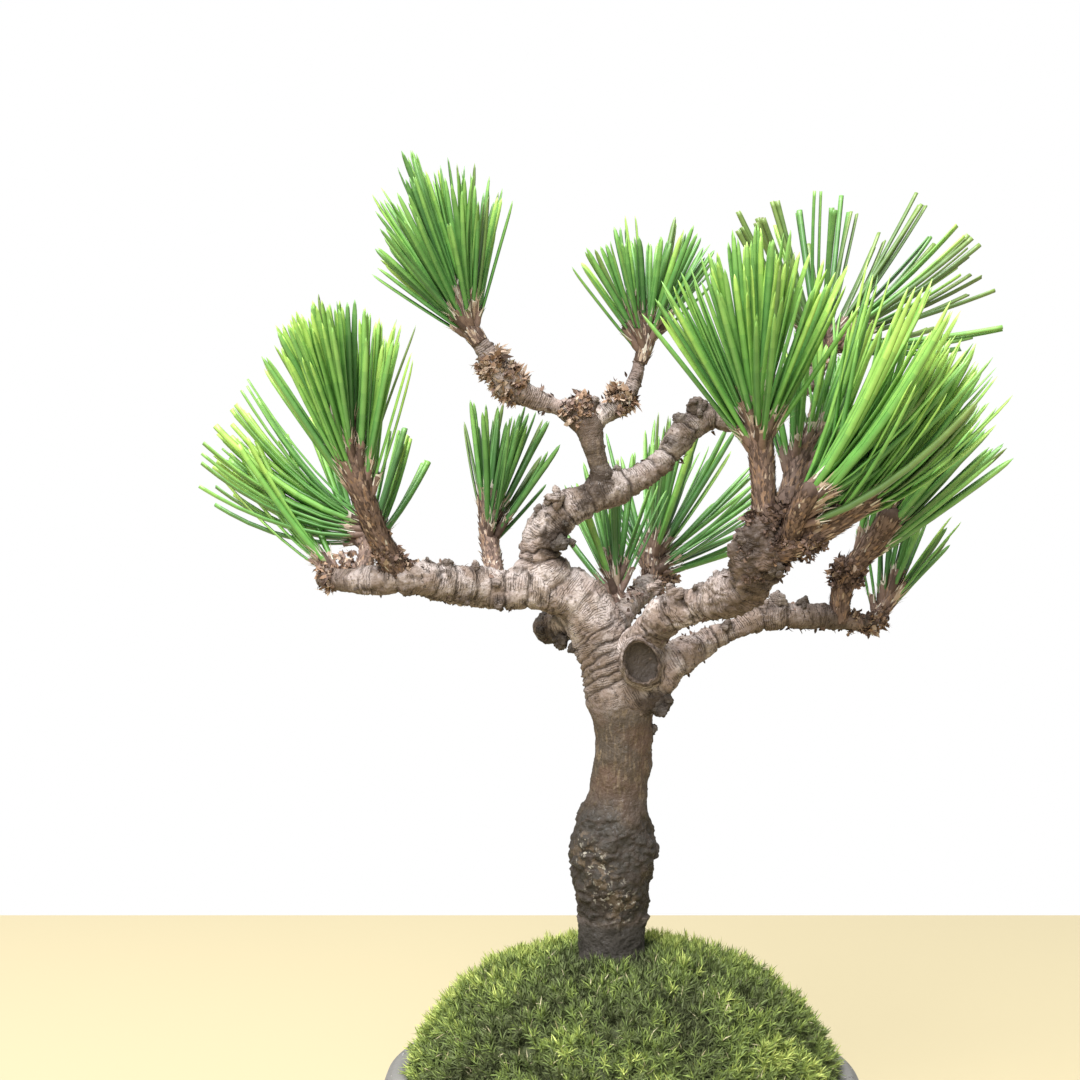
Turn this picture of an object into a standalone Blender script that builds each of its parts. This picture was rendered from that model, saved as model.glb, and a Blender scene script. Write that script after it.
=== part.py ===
"""A small Japanese black pine bonsai in a round grey pot, as separate closed solids.

Metres, +Z up. The origin is the middle of the pot's flat underside. The viewer's side is -Y.
Routes of the wood are given in millimetres from the middle of the trunk's foot.
"""

import math
from dataclasses import dataclass

import bmesh
import bpy
import numpy as np
from mathutils import Vector

MM = 0.001
CLEARANCE = 0.3 * MM

# Pot: a round bowl with an in-curving rim and a flat foot
POT_HEIGHT = 55.5 * MM
RIM_RADIUS = 41.5 * MM
BELLY_RADIUS = 46.5 * MM
BELLY_HEIGHT = 33.0 * MM
FOOT_RADIUS = 28.0 * MM
FOOT_HEIGHT = 3.0 * MM
SHOULDER_RADIUS = 30.0 * MM
WALL = 3.2 * MM
FLOOR = 6.0 * MM
EDGE_ROUNDING = 1.0 * MM
POT_SEGMENTS = 32
POT_RINGS = 9
DRAIN_HOLES = 3
DRAIN_RADIUS = 3.2 * MM
DRAIN_CIRCLE = 15.0 * MM
DRAIN_TURN = 0.25
DRAIN_SIDES = 12

# Root ball and the cushion of moss on it
SOIL_RIM_DROP = 4.0 * MM
SOIL_TOP = 70.0 * MM
SOIL_FLAT_RADIUS = 11.0 * MM
SOIL_RINGS = 7
MOSS_RADIUS = RIM_RADIUS - WALL - CLEARANCE
MOSS_THICKNESS = 4.0 * MM
MOSS_TOP = 75.5 * MM
MOSS_EDGE_HEIGHT = 3.0 * MM
MOUND_FLATNESS = 3.0
MOUND_FULLNESS = 1.4
MOSS_BUMP = 0.8 * MM
MOSS_DIP = 0.3 * MM
MOSS_PLAIN_EDGE = 0.5 * MM
MOSS_PLAIN_HOLE = 1.5 * MM
MOSS_RINGS = 8
HOLE_MARGIN = 0.6 * MM
HOLE_SIDES = 24

# Tree
FOOT = Vector((-1.6 * MM, 0.0, SOIL_TOP + CLEARANCE))
TRUNK_SIDES = 14
BOUGH_SIDES = 9
STEM_SIDES = 6
RING_STEP = 3.4 * MM
SHOOT_STEP = 2.8 * MM
BARK_WOBBLE = 0.05
BLUNT_LENGTH = 0.45
BLUNT_RADIUS = 0.6
BUD_RADIUS = 0.55
CURVE_STEPS = 24
UP = np.array((0.0, 0.0, 1.0))

# A pair of needles, as one blade. Shares are of its length, or of the shoot's
NEEDLE_HALF_WIDTH = 0.7 * MM
NEEDLE_HALF_DEPTH = 0.45 * MM
NEEDLE_CORNERS = ((1.0, -0.5), (-1.0, -0.5), (0.0, 1.0))
NEEDLE_ROOT_SHARE = 0.4
NEEDLE_SHOULDER = 0.7
NEEDLE_ZONE = 8.0 * MM
NEEDLE_ZONE_SHARE = 0.75
LOW_NEEDLE_GAIN = 0.5
SHORTEST = 0.84
TRIMMED_SHORTEST = 0.93
LONGEST = 1.02
GOLDEN_ANGLE = math.radians(137.508)
TURN_CHANCE = 0.25
LEAN_CHANCE = math.radians(4)
LEAN_POWER = 0.7
NEEDLE_CHECK_STEP = 1.5 * MM
NEEDLE_CHECK_FIRST = 3
SPACE_MARGIN = 1.0 * MM
WOOD_MARGIN = 1.2 * MM


@dataclass(frozen=True)
class Limb:
    """One limb. Its route is (x, y, z, radius) in millimetres. Its root is cut clear of its hosts."""

    name: str
    route: tuple
    hosts: tuple = ()
    blunt: bool = False


@dataclass(frozen=True)
class Shoot:
    """A shoot that ends in a brush of `count` needles. `aim` is where the middle needles reach.

    The lowest needles lean out by `spread` degrees, and `lift` curls them all towards the sky.
    """

    route: tuple
    aim: tuple
    count: int
    spread: float
    lift: float = 0.0
    trimmed: bool = False


@dataclass(frozen=True)
class Mass:
    """One mass of needles on its own stem. The first shoot is the stem, and the others fork from it."""

    name: str
    shoots: tuple
    hosts: tuple
    seed: int


TRUNK = Limb(
    "trunk",
    ((0, 0, 0, 6), (-0.1, 0, 11.1, 6.1), (-0.1, 0, 20.7, 7.6), (0.1, 0, 25.5, 7.6), (0.9, 0, 32.5, 5.9),
     (1.6, 0, 40.5, 5.3), (1.4, 0, 46.9, 5.2), (0, 0, 54, 5.3), (-1.9, 0, 61.3, 5), (-4.8, 0, 67.5, 4.7),
     (-9.1, 0, 71.1, 4.6), (-12.4, 0, 74.3, 4.5), (-13, 0, 78.1, 3.9), (-11.8, 0, 81.7, 3.8),
     (-8.8, 0, 84.6, 3.5), (-4.1, 0, 87.1, 3.1), (0.2, 0, 89.1, 2.5)),
)

BOUGHS = (
    Limb(
        "bough_left",
        ((-12.2, 0, 70.7, 3.9), (-17.6, -1, 70.9, 3.9), (-22.8, -2, 71.3, 3.7), (-29.2, -5, 72.1, 3.6),
         (-35.5, -8, 73.2, 2.9), (-42.1, -7, 72.8, 2.6), (-46.8, -4, 72.8, 2.1), (-51.7, -1, 73.1, 1.8)),
        hosts=("trunk",), blunt=True,
    ),
    Limb(
        "bough_right_low",
        ((0.9, 0, 50.5, 4.6), (6.1, -1, 53.9, 4.4), (9.3, -1, 56.9, 4), (13, 0, 59, 3.4),
         (17.7, 2, 61.5, 2.3), (22.4, 3, 63.5, 2.1), (27, 3.5, 65.5, 2.5), (36.3, 5, 65.6, 2.4),
         (43.5, 7, 64.6, 1.8), (48.5, 8, 64.5, 1.5)),
        hosts=("trunk",),
    ),
    Limb(
        "bough_right_front",
        ((3, -1, 56.4, 3.8), (5.5, -5, 62, 3.6), (9.1, -10, 66.7, 3.4), (14.3, -14, 68.4, 2.8),
         (17.9, -20, 70.1, 3.2), (21.1, -25, 72.5, 3.4), (22.2, -29, 77.6, 4.5), (22.6, -31, 80.8, 3.3),
         (22.9, -32, 83.2, 2.4)),
        hosts=("trunk", "bough_right_low"),
    ),
    Limb(
        "bough_back",
        ((-0.1, 2, 63.4, 2.6), (3.2, 9, 67.1, 2.4), (6.1, 17, 69.4, 2.2), (8.7, 24, 71.1, 2),
         (12.2, 28, 72.2, 1.8)),
        hosts=("trunk", "bough_right_front"), blunt=True,
    ),
    Limb(
        "bough_apex",
        ((-1.2, 0, 88.7, 2.2), (3.9, 1, 90.4, 2.2), (9.2, 2, 94, 2.3), (13.1, 3, 99, 2.9),
         (17.2, 4, 101.6, 2.5), (22.6, 5, 102, 2.1), (29.2, 6, 104.5, 1.9), (35.9, 8, 108.4, 1.9),
         (39.2, 9, 112.7, 1.9)),
        hosts=("trunk",),
    ),
    Limb(
        "bough_upright",
        ((-1.9, 0, 89.1, 2.1), (-2.7, -1, 93, 2), (-4.1, -1, 98.4, 2), (-5.5, 0, 102.7, 2.9)),
        hosts=("trunk", "bough_apex"), blunt=True,
    ),
    Limb(
        "twig_top_left",
        ((-5.5, 0, 102.7, 2), (-9.1, 1, 103.4, 1.8), (-12, 1, 104.4, 1.9), (-16.7, 0, 106.7, 2.5),
         (-20.3, -1, 109.5, 2.7), (-24, -2, 115.3, 1.8)),
        hosts=("bough_upright",),
    ),
    Limb(
        "twig_top_right",
        ((-5.5, 0, 102.7, 1.6), (-3, 0, 101.7, 1.5), (-0.1, 1, 103.5, 2.2), (2.4, 1, 105.7, 2),
         (4.2, 1, 109.3, 1.5), (5.1, 1, 112.2, 1.4)),
        hosts=("bough_upright",),
    ),
    Limb(
        "stub_back",
        ((-4.9, 3, 65.5, 3.2), (-11.4, 9, 63.4, 2.9)),
        hosts=("trunk", "bough_left"), blunt=True,
    ),
)

LIMBS = {limb.name: limb for limb in (TRUNK, *BOUGHS)}

# The round pruning scar: (distance along, radius) in millimetres, out to the lip and into its hollow
SCAR_ROUTE = ((5, -1, 57.8), (4.2, -11, 58.9))
SCAR_PROFILE = ((0.0, 3.9), (6.0, 3.8), (8.8, 3.6), (9.4, 3.1), (9.3, 2.5), (7.9, 2.0))
SCAR_HOSTS = ("trunk", "bough_right_low", "bough_right_front")
SCAR_SIDES = 12

MASSES = (
    Mass("needles_top_left", (
        Shoot(((-23.8, -2, 114.9, 1.8), (-25.6, -2, 117.6, 1.8), (-27.2, -2, 122.1, 2.2)),
              aim=(-31.9, -4, 148.9), count=32, spread=40),
    ), hosts=("twig_top_left",), seed=1),
    Mass("needles_top_centre", (
        Shoot(((5, 1, 111.7, 1.4), (5.9, 1, 115.3, 1.5), (4.2, 1, 119.8, 1.7)),
              aim=(1.6, -2, 139), count=13, spread=34),
        Shoot(((5.9, 1, 115.3, 1.5), (8.7, 3, 119.3, 1.7)),
              aim=(15.4, 8, 137.8), count=11, spread=26),
    ), hosts=("twig_top_right",), seed=2),
    Mass("needles_apex", (
        Shoot(((39.2, 9, 112.2, 1.9), (39.2, 9, 115, 1.9), (36.3, 9, 118.7, 2.1)),
              aim=(28.8, 6, 140.7), count=20, spread=42, trimmed=True),
        Shoot(((39.2, 9, 115, 1.9), (45, 12, 119.1, 2.1)),
              aim=(66, 17, 132.7), count=24, spread=46, trimmed=True),
    ), hosts=("bough_apex",), seed=3),
    Mass("needles_left_front", (
        Shoot(((-36.9, -8, 73.7, 2.3), (-39.7, -12, 80.4, 2), (-42.2, -16, 86.5, 2), (-44.3, -18, 92.2, 2.3),
               (-45.2, -19, 97.4, 2.5)),
              aim=(-49, -22, 119.1), count=40, spread=38),
    ), hosts=("bough_left",), seed=4),
    Mass("needles_left_back", (
        Shoot(((-46.8, -4, 73, 1.7), (-48.3, 2, 76.1, 1.7), (-48.1, 5, 81, 1.9)),
              aim=(-69.9, 10, 98), count=22, spread=42, lift=0.2, trimmed=True),
        Shoot(((-48.3, 2, 76.1, 1.7), (-47.7, 8, 80.3, 1.7)),
              aim=(-39.5, 18, 97.3), count=6, spread=36, trimmed=True),
        Shoot(((-48.3, 2, 76.1, 1.5), (-52.5, 4, 77.9, 1.7)),
              aim=(-70, 9, 97), count=5, spread=24, lift=0.1, trimmed=True),
    ), hosts=("bough_left",), seed=5),
    Mass("needles_centre_back", (
        Shoot(((-21.3, -2, 71.8, 1.9), (-21.7, 6, 75.1, 1.8), (-22.7, 13, 80.6, 1.9),
               (-22.8, 15.5, 86.3, 2.2)),
              aim=(-20.2, 19, 106.9), count=30, spread=42),
    ), hosts=("bough_left",), seed=6),
    Mass("needles_back_small", (
        Shoot(((2.4, 8, 66.6, 1.2), (1.2, 11, 69.6, 1.2), (1, 16, 74.3, 1.6)),
              aim=(-0.6, 24, 96.9), count=16, spread=44),
    ), hosts=("bough_back", "trunk"), seed=7),
    Mass("needles_back_large", (
        Shoot(((8.3, 23, 70.9, 1.9), (8.6, 25.5, 74.2, 1.9), (9.3, 28.5, 78.2, 2.2)),
              aim=(14.6, 38, 106.2), count=36, spread=64),
    ), hosts=("bough_back",), seed=8),
    Mass("needles_front_right", (
        Shoot(((22.9, -32, 82.9, 2.3), (22.6, -33, 87.7, 2.2), (21.9, -34, 94, 2.4), (20.8, -35, 100.6, 2.5)),
              aim=(18.9, -40, 126.3), count=38, spread=38),
    ), hosts=("bough_right_front",), seed=9),
    Mass("needles_mid_right", (
        Shoot(((23, -28.5, 79.2, 1.9), (27.5, -24, 86.3, 1.9), (30.5, -20, 92.8, 1.9), (32.7, -19, 96.5, 2)),
              aim=(38.6, -18, 117.2), count=16, spread=34),
        Shoot(((27.5, -24, 86.3, 1.9), (34.9, -16, 91.9, 1.8), (38.9, -11, 98.7, 2)),
              aim=(47.5, -6, 119.9), count=18, spread=36),
    ), hosts=("bough_right_front",), seed=10),
    Mass("needles_sweep_right", (
        Shoot(((22.2, -29, 77.2, 2.6), (26.9, -32, 78.9, 2.7), (32.1, -33.5, 82.1, 2.8),
               (39, -33.5, 86.8, 2.7)),
              aim=(55, -38, 108), count=36, spread=36, lift=0.08),
        Shoot(((26.9, -32, 78.9, 2), (27.2, -37, 83.3, 1.9), (28.6, -40.5, 87.1, 1.9)),
              aim=(46.5, -47, 110), count=11, spread=26, lift=0.15),
    ), hosts=("bough_right_front",), seed=11),
    Mass("needles_low_right", (
        Shoot(((41.6, 6, 64.6, 1.9), (42.2, 5, 70.5, 2.1), (43.3, 3, 74.2, 2.2), (46.3, 0, 78.4, 2.1),
               (49.2, -3, 83.6, 2.4)),
              aim=(66.1, -5, 104.1), count=32, spread=34),
    ), hosts=("bough_right_low",), seed=12),
    Mass("needles_tail_right", (
        Shoot(((48, 7.9, 64.5, 1.5), (50.9, 9.6, 67.1, 1.4), (52.9, 11, 70.9, 1.5)),
              aim=(59.8, 15, 89), count=10, spread=28),
    ), hosts=("bough_right_low",), seed=13),
)


def clear_scene():
    """Removes every object of the scene."""
    for obj in list(bpy.data.objects):
        bpy.data.objects.remove(obj, do_unlink=True)


def material(name, colour, roughness):
    """A plain Principled material."""
    made = bpy.data.materials.new(name)
    made.use_nodes = True
    shader = made.node_tree.nodes["Principled BSDF"]
    shader.inputs["Base Color"].default_value = (*colour, 1.0)
    shader.inputs["Roughness"].default_value = roughness
    shader.inputs["Metallic"].default_value = 0.0
    return made


def add_object(name, vertices, faces, finish=None):
    """A mesh object in the scene, made from vertices and faces."""
    mesh = bpy.data.meshes.new(name)
    mesh.from_pydata([tuple(v) for v in vertices], [], [tuple(f) for f in faces])
    mesh.update()
    obj = bpy.data.objects.new(name, mesh)
    bpy.context.scene.collection.objects.link(obj)
    if finish:
        mesh.materials.append(finish)
    return obj


def remove(obj):
    """Removes an object and its mesh."""
    mesh = obj.data
    bpy.data.objects.remove(obj, do_unlink=True)
    bpy.data.meshes.remove(mesh)


def apply_modifiers(obj):
    """Replaces the object's mesh by its evaluated one."""
    bpy.context.view_layer.update()
    evaluated = obj.evaluated_get(bpy.context.evaluated_depsgraph_get())
    made = bpy.data.meshes.new_from_object(evaluated)
    old = obj.data
    obj.modifiers.clear()
    obj.data = made
    bpy.data.meshes.remove(old)


def keep_largest_body(obj):
    """Drops loose scraps and sealed hollows: all but the body with the most vertices."""
    work = bmesh.new()
    work.from_mesh(obj.data)
    unseen, bodies = set(work.verts), []
    while unseen:
        todo, body = [unseen.pop()], []
        while todo:
            vertex = todo.pop()
            body.append(vertex)
            near = {edge.other_vert(vertex) for edge in vertex.link_edges} & unseen
            unseen -= near
            todo.extend(near)
        bodies.append(body)
    bodies.sort(key=len)
    scraps = [vertex for body in bodies[:-1] for vertex in body]
    bmesh.ops.delete(work, geom=scraps, context="VERTS")
    work.to_mesh(obj.data)
    work.free()


def subtract(obj, cutter):
    """Cuts the cutter out of the object, and removes the cutter."""
    cut = obj.modifiers.new("cut", "BOOLEAN")
    cut.operation = "DIFFERENCE"
    cut.solver = "EXACT"
    cut.object = cutter
    apply_modifiers(obj)
    remove(cutter)
    keep_largest_body(obj)


def smooth_line(points, step):
    """A Catmull-Rom curve through rows of numbers that start with a point, sampled about every `step`."""
    given = np.array(points, float)
    if len(given) == 2:
        fine = given
    else:
        ends = np.vstack([2 * given[0] - given[1], given, 2 * given[-1] - given[-2]])
        a, b, c, d = ends[:-3], ends[1:-2], ends[2:-1], ends[3:]
        t = np.linspace(0, 1, CURVE_STEPS, endpoint=False)[None, :, None]
        a, b, c, d = (part[:, None, :] for part in (a, b, c, d))
        square, cube = 2 * a - 5 * b + 4 * c - d, 3 * b - a - 3 * c + d
        spans = 0.5 * (2 * b + (c - a) * t + square * t**2 + cube * t**3)
        fine = np.vstack([spans.reshape(-1, given.shape[1]), given[-1]])
    along = distances_along(fine[:, :3])
    wanted = np.linspace(0, along[-1], max(2, round(along[-1] / step) + 1))
    return np.stack([np.interp(wanted, along, column) for column in fine.T], axis=1)


def distances_along(line):
    """The distance of each point of a line from its start."""
    return np.concatenate([[0.0], np.cumsum(np.linalg.norm(np.diff(line, axis=0), axis=1))])


def frames_along(line):
    """(tangents, sides, ups): a frame carried along the line without twist."""
    tangents = np.gradient(line, axis=0)
    tangents /= np.linalg.norm(tangents, axis=1)[:, None]
    start = np.array((1.0, 0.0, 0.0)) if abs(tangents[0, 0]) < 0.9 else np.array((0.0, 1.0, 0.0))
    sides = []
    for tangent in tangents:
        start = start - tangent * (start @ tangent)
        start = start / np.linalg.norm(start)
        sides.append(start)
    sides = np.array(sides)
    return tangents, sides, np.cross(tangents, sides)


def route_line(route, step=RING_STEP):
    """(centreline, radii) of a route, in metres in the part's frame."""
    stations = smooth_line(np.array(route, float) * MM, step)
    return stations[:, :3] + np.array(FOOT), stations[:, 3]


def ring_faces(rings, sides):
    """Faces between neighbouring rings of vertices, and a cap on each end."""
    faces = [
        (r * sides + s, r * sides + (s + 1) % sides, (r + 1) * sides + (s + 1) % sides, (r + 1) * sides + s)
        for r in range(rings - 1)
        for s in range(sides)
    ]
    last = (rings - 1) * sides
    return [tuple(reversed(range(sides))), *faces, tuple(range(last, last + sides))]


def tube(name, line, radii, sides, wobble=0.0, blunt=False, grown=0.0, finish=None):
    """A closed tube round a line.

    `wobble` is the share by which its radius wanders, by a fixed rule. `grown` thickens and lengthens it.
    """
    tangents, side, up = frames_along(line)
    line = np.vstack([line[:-1], line[-1] + tangents[-1] * grown])
    radii = radii + grown
    if blunt:
        line = np.vstack([line, line[-1] + tangents[-1] * radii[-1] * BLUNT_LENGTH])
        radii = np.append(radii, radii[-1] * BLUNT_RADIUS)
        side, up = np.vstack([side, side[-1]]), np.vstack([up, up[-1]])
    angles = np.arange(sides) * 2 * math.pi / sides
    along = distances_along(line)[:, None] / MM
    wander = np.sin(2 * angles + 0.31 * along) + 0.8 * np.sin(3 * angles - 0.53 * along + 1.7)
    reach = radii[:, None] * (1 + wobble * wander)
    across, over = np.cos(angles)[None, :, None], np.sin(angles)[None, :, None]
    ring = across * side[:, None, :] + over * up[:, None, :]
    vertices = (line[:, None, :] + ring * reach[:, :, None]).reshape(-1, 3)
    return add_object(name, vertices, ring_faces(len(line), sides), finish)


def build_limb(limb, sides, grown=0.0, finish=None):
    """A limb's solid, or with `grown` the same a little thicker, to cut others clear of it."""
    line, radii = route_line(limb.route)
    return tube(limb.name, line, radii, sides, BARK_WOBBLE, limb.blunt, grown, finish)


def cut_clear(obj, hosts):
    """Cuts an object's root back to just clear of the limbs that carry it."""
    for host in hosts:
        subtract(obj, build_limb(LIMBS[host], sides_of(host), grown=CLEARANCE))


def sides_of(name):
    """How many sides the tube of a limb has."""
    return TRUNK_SIDES if name == "trunk" else BOUGH_SIDES


def turned(name, profile, segments, finish):
    """A solid turned about the Z axis from (radius, height) points that start and end on the axis."""
    work = bmesh.new()
    points = [work.verts.new((radius, 0.0, height)) for radius, height in profile]
    edges = [work.edges.new(pair) for pair in zip(points, points[1:])]
    bmesh.ops.spin(work, geom=points + edges, cent=(0, 0, 0), axis=(0, 0, 1), angle=2 * math.pi,
                   steps=segments, use_merge=True)
    bmesh.ops.remove_doubles(work, verts=work.verts, dist=0.01 * MM)
    bmesh.ops.recalc_face_normals(work, faces=work.faces)
    mesh = bpy.data.meshes.new(name)
    work.to_mesh(mesh)
    work.free()
    mesh.materials.append(finish)
    obj = bpy.data.objects.new(name, mesh)
    bpy.context.scene.collection.objects.link(obj)
    return obj


def cylinder(name, radius, low, high, centre, sides):
    """An upright cylinder between two heights."""
    line = np.array([(centre[0], centre[1], low), (centre[0], centre[1], high)])
    return tube(name, line, np.array([radius, radius]), sides)


def pot_outer(height):
    """The pot's outer radius: one half ellipse above the belly and another below it."""
    if height >= BELLY_HEIGHT:
        reach = (POT_HEIGHT - BELLY_HEIGHT) / math.sqrt(1 - (RIM_RADIUS / BELLY_RADIUS) ** 2)
    else:
        reach = (BELLY_HEIGHT - FOOT_HEIGHT) / math.sqrt(1 - (SHOULDER_RADIUS / BELLY_RADIUS) ** 2)
    return BELLY_RADIUS * math.sqrt(1 - ((height - BELLY_HEIGHT) / reach) ** 2)


def wall_heights():
    """Heights of the rings of the pot's inner wall, from its floor up to the top of the soil."""
    return np.linspace(FLOOR, POT_HEIGHT - SOIL_RIM_DROP, SOIL_RINGS)


def build_pot(finish):
    """The bowl, with a rounded lip and drain holes round the middle of its flat foot."""
    outer = [(pot_outer(z), z) for z in np.linspace(FOOT_HEIGHT, POT_HEIGHT - EDGE_ROUNDING, POT_RINGS)]
    inner = [(pot_outer(z) - WALL, z) for z in (POT_HEIGHT - EDGE_ROUNDING, *wall_heights()[::-1])]
    lip = [(RIM_RADIUS - EDGE_ROUNDING, POT_HEIGHT), (RIM_RADIUS - WALL + EDGE_ROUNDING, POT_HEIGHT)]
    foot = [(0, 0), (FOOT_RADIUS - EDGE_ROUNDING, 0), (FOOT_RADIUS, EDGE_ROUNDING)]
    foot += [(FOOT_RADIUS, FOOT_HEIGHT)]
    pot = turned("pot", foot + outer + lip + inner + [(0, FLOOR)], POT_SEGMENTS, finish)
    for index in range(DRAIN_HOLES):
        angle = 2 * math.pi * (index + DRAIN_TURN) / DRAIN_HOLES
        centre = (DRAIN_CIRCLE * math.cos(angle), DRAIN_CIRCLE * math.sin(angle))
        subtract(pot, cylinder("drain", DRAIN_RADIUS, -FLOOR, 2 * FLOOR, centre, DRAIN_SIDES))
    return pot


def mound(radius, edge, low, high):
    """The height of a rounded mound at a radius: low at its edge, high in the middle."""
    share = min(1.0, max(0.0, radius / edge))
    return low + (high - low) * (1 - share**MOUND_FLATNESS) ** (1 / MOUND_FULLNESS)


def mound_radii(edge, rings):
    """Radii from the edge to the middle, closer together where the mound is steep."""
    return edge * np.sin(np.linspace(math.pi / 2, 0, rings))


def moss_underside():
    """(radius, height) of the moss's underside: a flat edge, a mound, and the flat that carries the trunk."""
    low = POT_HEIGHT - SOIL_RIM_DROP
    foot = MOSS_RADIUS - MOSS_THICKNESS - SOIL_FLAT_RADIUS
    slope = [(SOIL_FLAT_RADIUS + r, mound(r, foot, low, FOOT.z)) for r in mound_radii(foot, SOIL_RINGS)]
    return [(pot_outer(low) - WALL - CLEARANCE, low)] + slope


def build_root_ball(finish):
    """The ball of soil and roots that fills the pot, everywhere just clear of the moss on it."""
    bottom = FLOOR + CLEARANCE
    wall = [(pot_outer(z) - WALL - CLEARANCE, max(z, bottom)) for z in wall_heights()]
    top = [(radius - CLEARANCE, height - CLEARANCE) for radius, height in moss_underside()]
    return turned("root_ball", [(0, bottom)] + wall + top + [(0, SOIL_TOP)], POT_SEGMENTS, finish)


def build_moss(finish, hole_radius):
    """The moss: a shell over the root ball, with a bumpy top and a hole for the trunk."""
    low = POT_HEIGHT - SOIL_RIM_DROP + MOSS_EDGE_HEIGHT
    under = [(0, FOOT.z)] + moss_underside()[::-1]
    over = [(r, mound(r, MOSS_RADIUS, low, MOSS_TOP)) for r in mound_radii(MOSS_RADIUS, MOSS_RINGS)]
    moss = turned("moss", under + over, POT_SEGMENTS, finish)
    for vertex in moss.data.vertices:
        radius = math.hypot(vertex.co.x, vertex.co.y)
        on_top = vertex.co.z > mound(radius, MOSS_RADIUS, low, MOSS_TOP) - MOSS_DIP
        if not on_top or not hole_radius + MOSS_PLAIN_HOLE < radius < MOSS_RADIUS - MOSS_PLAIN_EDGE:
            continue
        place = round(math.atan2(vertex.co.y, vertex.co.x) / (2 * math.pi) * POT_SEGMENTS)
        ring = round(math.asin(radius / MOSS_RADIUS) / (math.pi / 2) * (MOSS_RINGS - 1))
        outwards = Vector((vertex.co.x, vertex.co.y, vertex.co.z - low)).normalized()
        vertex.co += outwards * (MOSS_BUMP if (place + ring) % 2 else -MOSS_DIP)
    subtract(moss, cylinder("trunk_hole", hole_radius, low / 2, 2 * MOSS_TOP, FOOT, HOLE_SIDES))
    return moss


def build_scar(finish):
    """The stub of a cut bough, with a raised lip round a hollow end."""
    ends = np.array(SCAR_ROUTE, float) * MM + np.array(FOOT)
    axis = (ends[1] - ends[0]) / np.linalg.norm(ends[1] - ends[0])
    side = np.cross(axis, UP)
    side /= np.linalg.norm(side)
    up = np.cross(side, axis)
    angles = np.arange(SCAR_SIDES) * 2 * math.pi / SCAR_SIDES
    ring = np.cos(angles)[:, None] * side + np.sin(angles)[:, None] * -up
    rings = [ends[0] + (axis * along + ring * radius) * MM for along, radius in SCAR_PROFILE]
    stub = add_object("stub_front", np.vstack(rings), ring_faces(len(rings), SCAR_SIDES), finish)
    cut_clear(stub, SCAR_HOSTS)
    return stub


def shoot_axis(shoot):
    """(start, end) of the middle line of a shoot's brush of needles."""
    ends = (shoot.route[-1][:3], shoot.aim)
    return tuple(np.array(point, float) * MM + np.array(FOOT) for point in ends)


def distance_to_segment(points, start, end):
    """The distance of each point from a segment."""
    run = end - start
    share = np.clip(((points - start) @ run) / (run @ run), 0, 1)
    return np.linalg.norm(points - start - share[:, None] * run, axis=1)


def in_own_space(points, mass):
    """Whether the points lie nearer to their own mass's brushes than to any other's, by a margin."""
    own = np.min([distance_to_segment(points, *shoot_axis(s)) for s in mass.shoots], axis=0)
    rivals = [shoot for other in MASSES if other is not mass for shoot in other.shoots]
    nearest = np.min([distance_to_segment(points, *shoot_axis(s)) for s in rivals], axis=0)
    return bool((own + SPACE_MARGIN < nearest).all())


def clear_of_wood(points, wood):
    """Whether the points keep their distance from the wood, given as rows of (x, y, z, radius)."""
    apart = np.linalg.norm(points[:, None, :] - wood[None, :, :3], axis=2)
    return bool((apart > wood[None, :, 3] + WOOD_MARGIN).all())


def wood_points(mass):
    """Points and radii of all the limbs, and of every other mass's stems."""
    routes = [limb.route for limb in LIMBS.values()]
    routes += [shoot.route for other in MASSES if other is not mass for shoot in other.shoots]
    return np.vstack([np.column_stack(route_line(route, NEEDLE_CHECK_STEP)) for route in routes])


def needle_spines(mass, shoot, chance):
    """The line of each pair of needles on a shoot.

    The pairs climb the shoot's last stretch at the golden angle. The lowest lean out by the whole spread,
    the top one hardly at all, and `lift` curls them towards the sky.
    """
    line, radii = route_line(shoot.route, SHOOT_STEP)
    along = distances_along(line)
    start, end = shoot_axis(shoot)
    reach = np.linalg.norm(end - start)
    axis = (end - start) / reach
    side = np.cross(axis, (0.0, 1.0, 0.0))
    side /= np.linalg.norm(side)
    up = np.cross(side, axis)
    wood = wood_points(mass)
    zone = min(NEEDLE_ZONE, along[-1] * NEEDLE_ZONE_SHARE)
    shortest = TRIMMED_SHORTEST if shoot.trimmed else SHORTEST
    for index in range(shoot.count):
        climb = (index + 0.5) / shoot.count
        place = along[-1] - zone * (1 - climb)
        centre = np.array([np.interp(place, along, line[:, k]) for k in range(3)])
        turn = index * GOLDEN_ANGLE + chance.uniform(-TURN_CHANCE, TURN_CHANCE)
        lean = math.radians(shoot.spread) * (1 - climb) ** LEAN_POWER
        lean += chance.uniform(-LEAN_CHANCE, LEAN_CHANCE)
        out = math.cos(turn) * side + math.sin(turn) * up
        heading = math.cos(lean) * axis + math.sin(lean) * out
        length = (reach + zone * (1 - climb) * LOW_NEEDLE_GAIN) * chance.uniform(shortest, LONGEST)
        root = centre + out * radii[-1] * NEEDLE_ROOT_SHARE
        stations = np.array(needle_stations(shoot))[:, None]
        spine = root + stations * length * heading + stations**2 * length * shoot.lift * UP
        free = smooth_line(spine, NEEDLE_CHECK_STEP)[NEEDLE_CHECK_FIRST:]
        if in_own_space(free, mass) and clear_of_wood(free, wood):
            yield spine, out


def needle_stations(shoot):
    """Where a needle's rings and its tip lie along it, as shares of its length."""
    return (0.0, 1.0) if shoot.trimmed and not shoot.lift else (0.0, NEEDLE_SHOULDER, 1.0)


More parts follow.
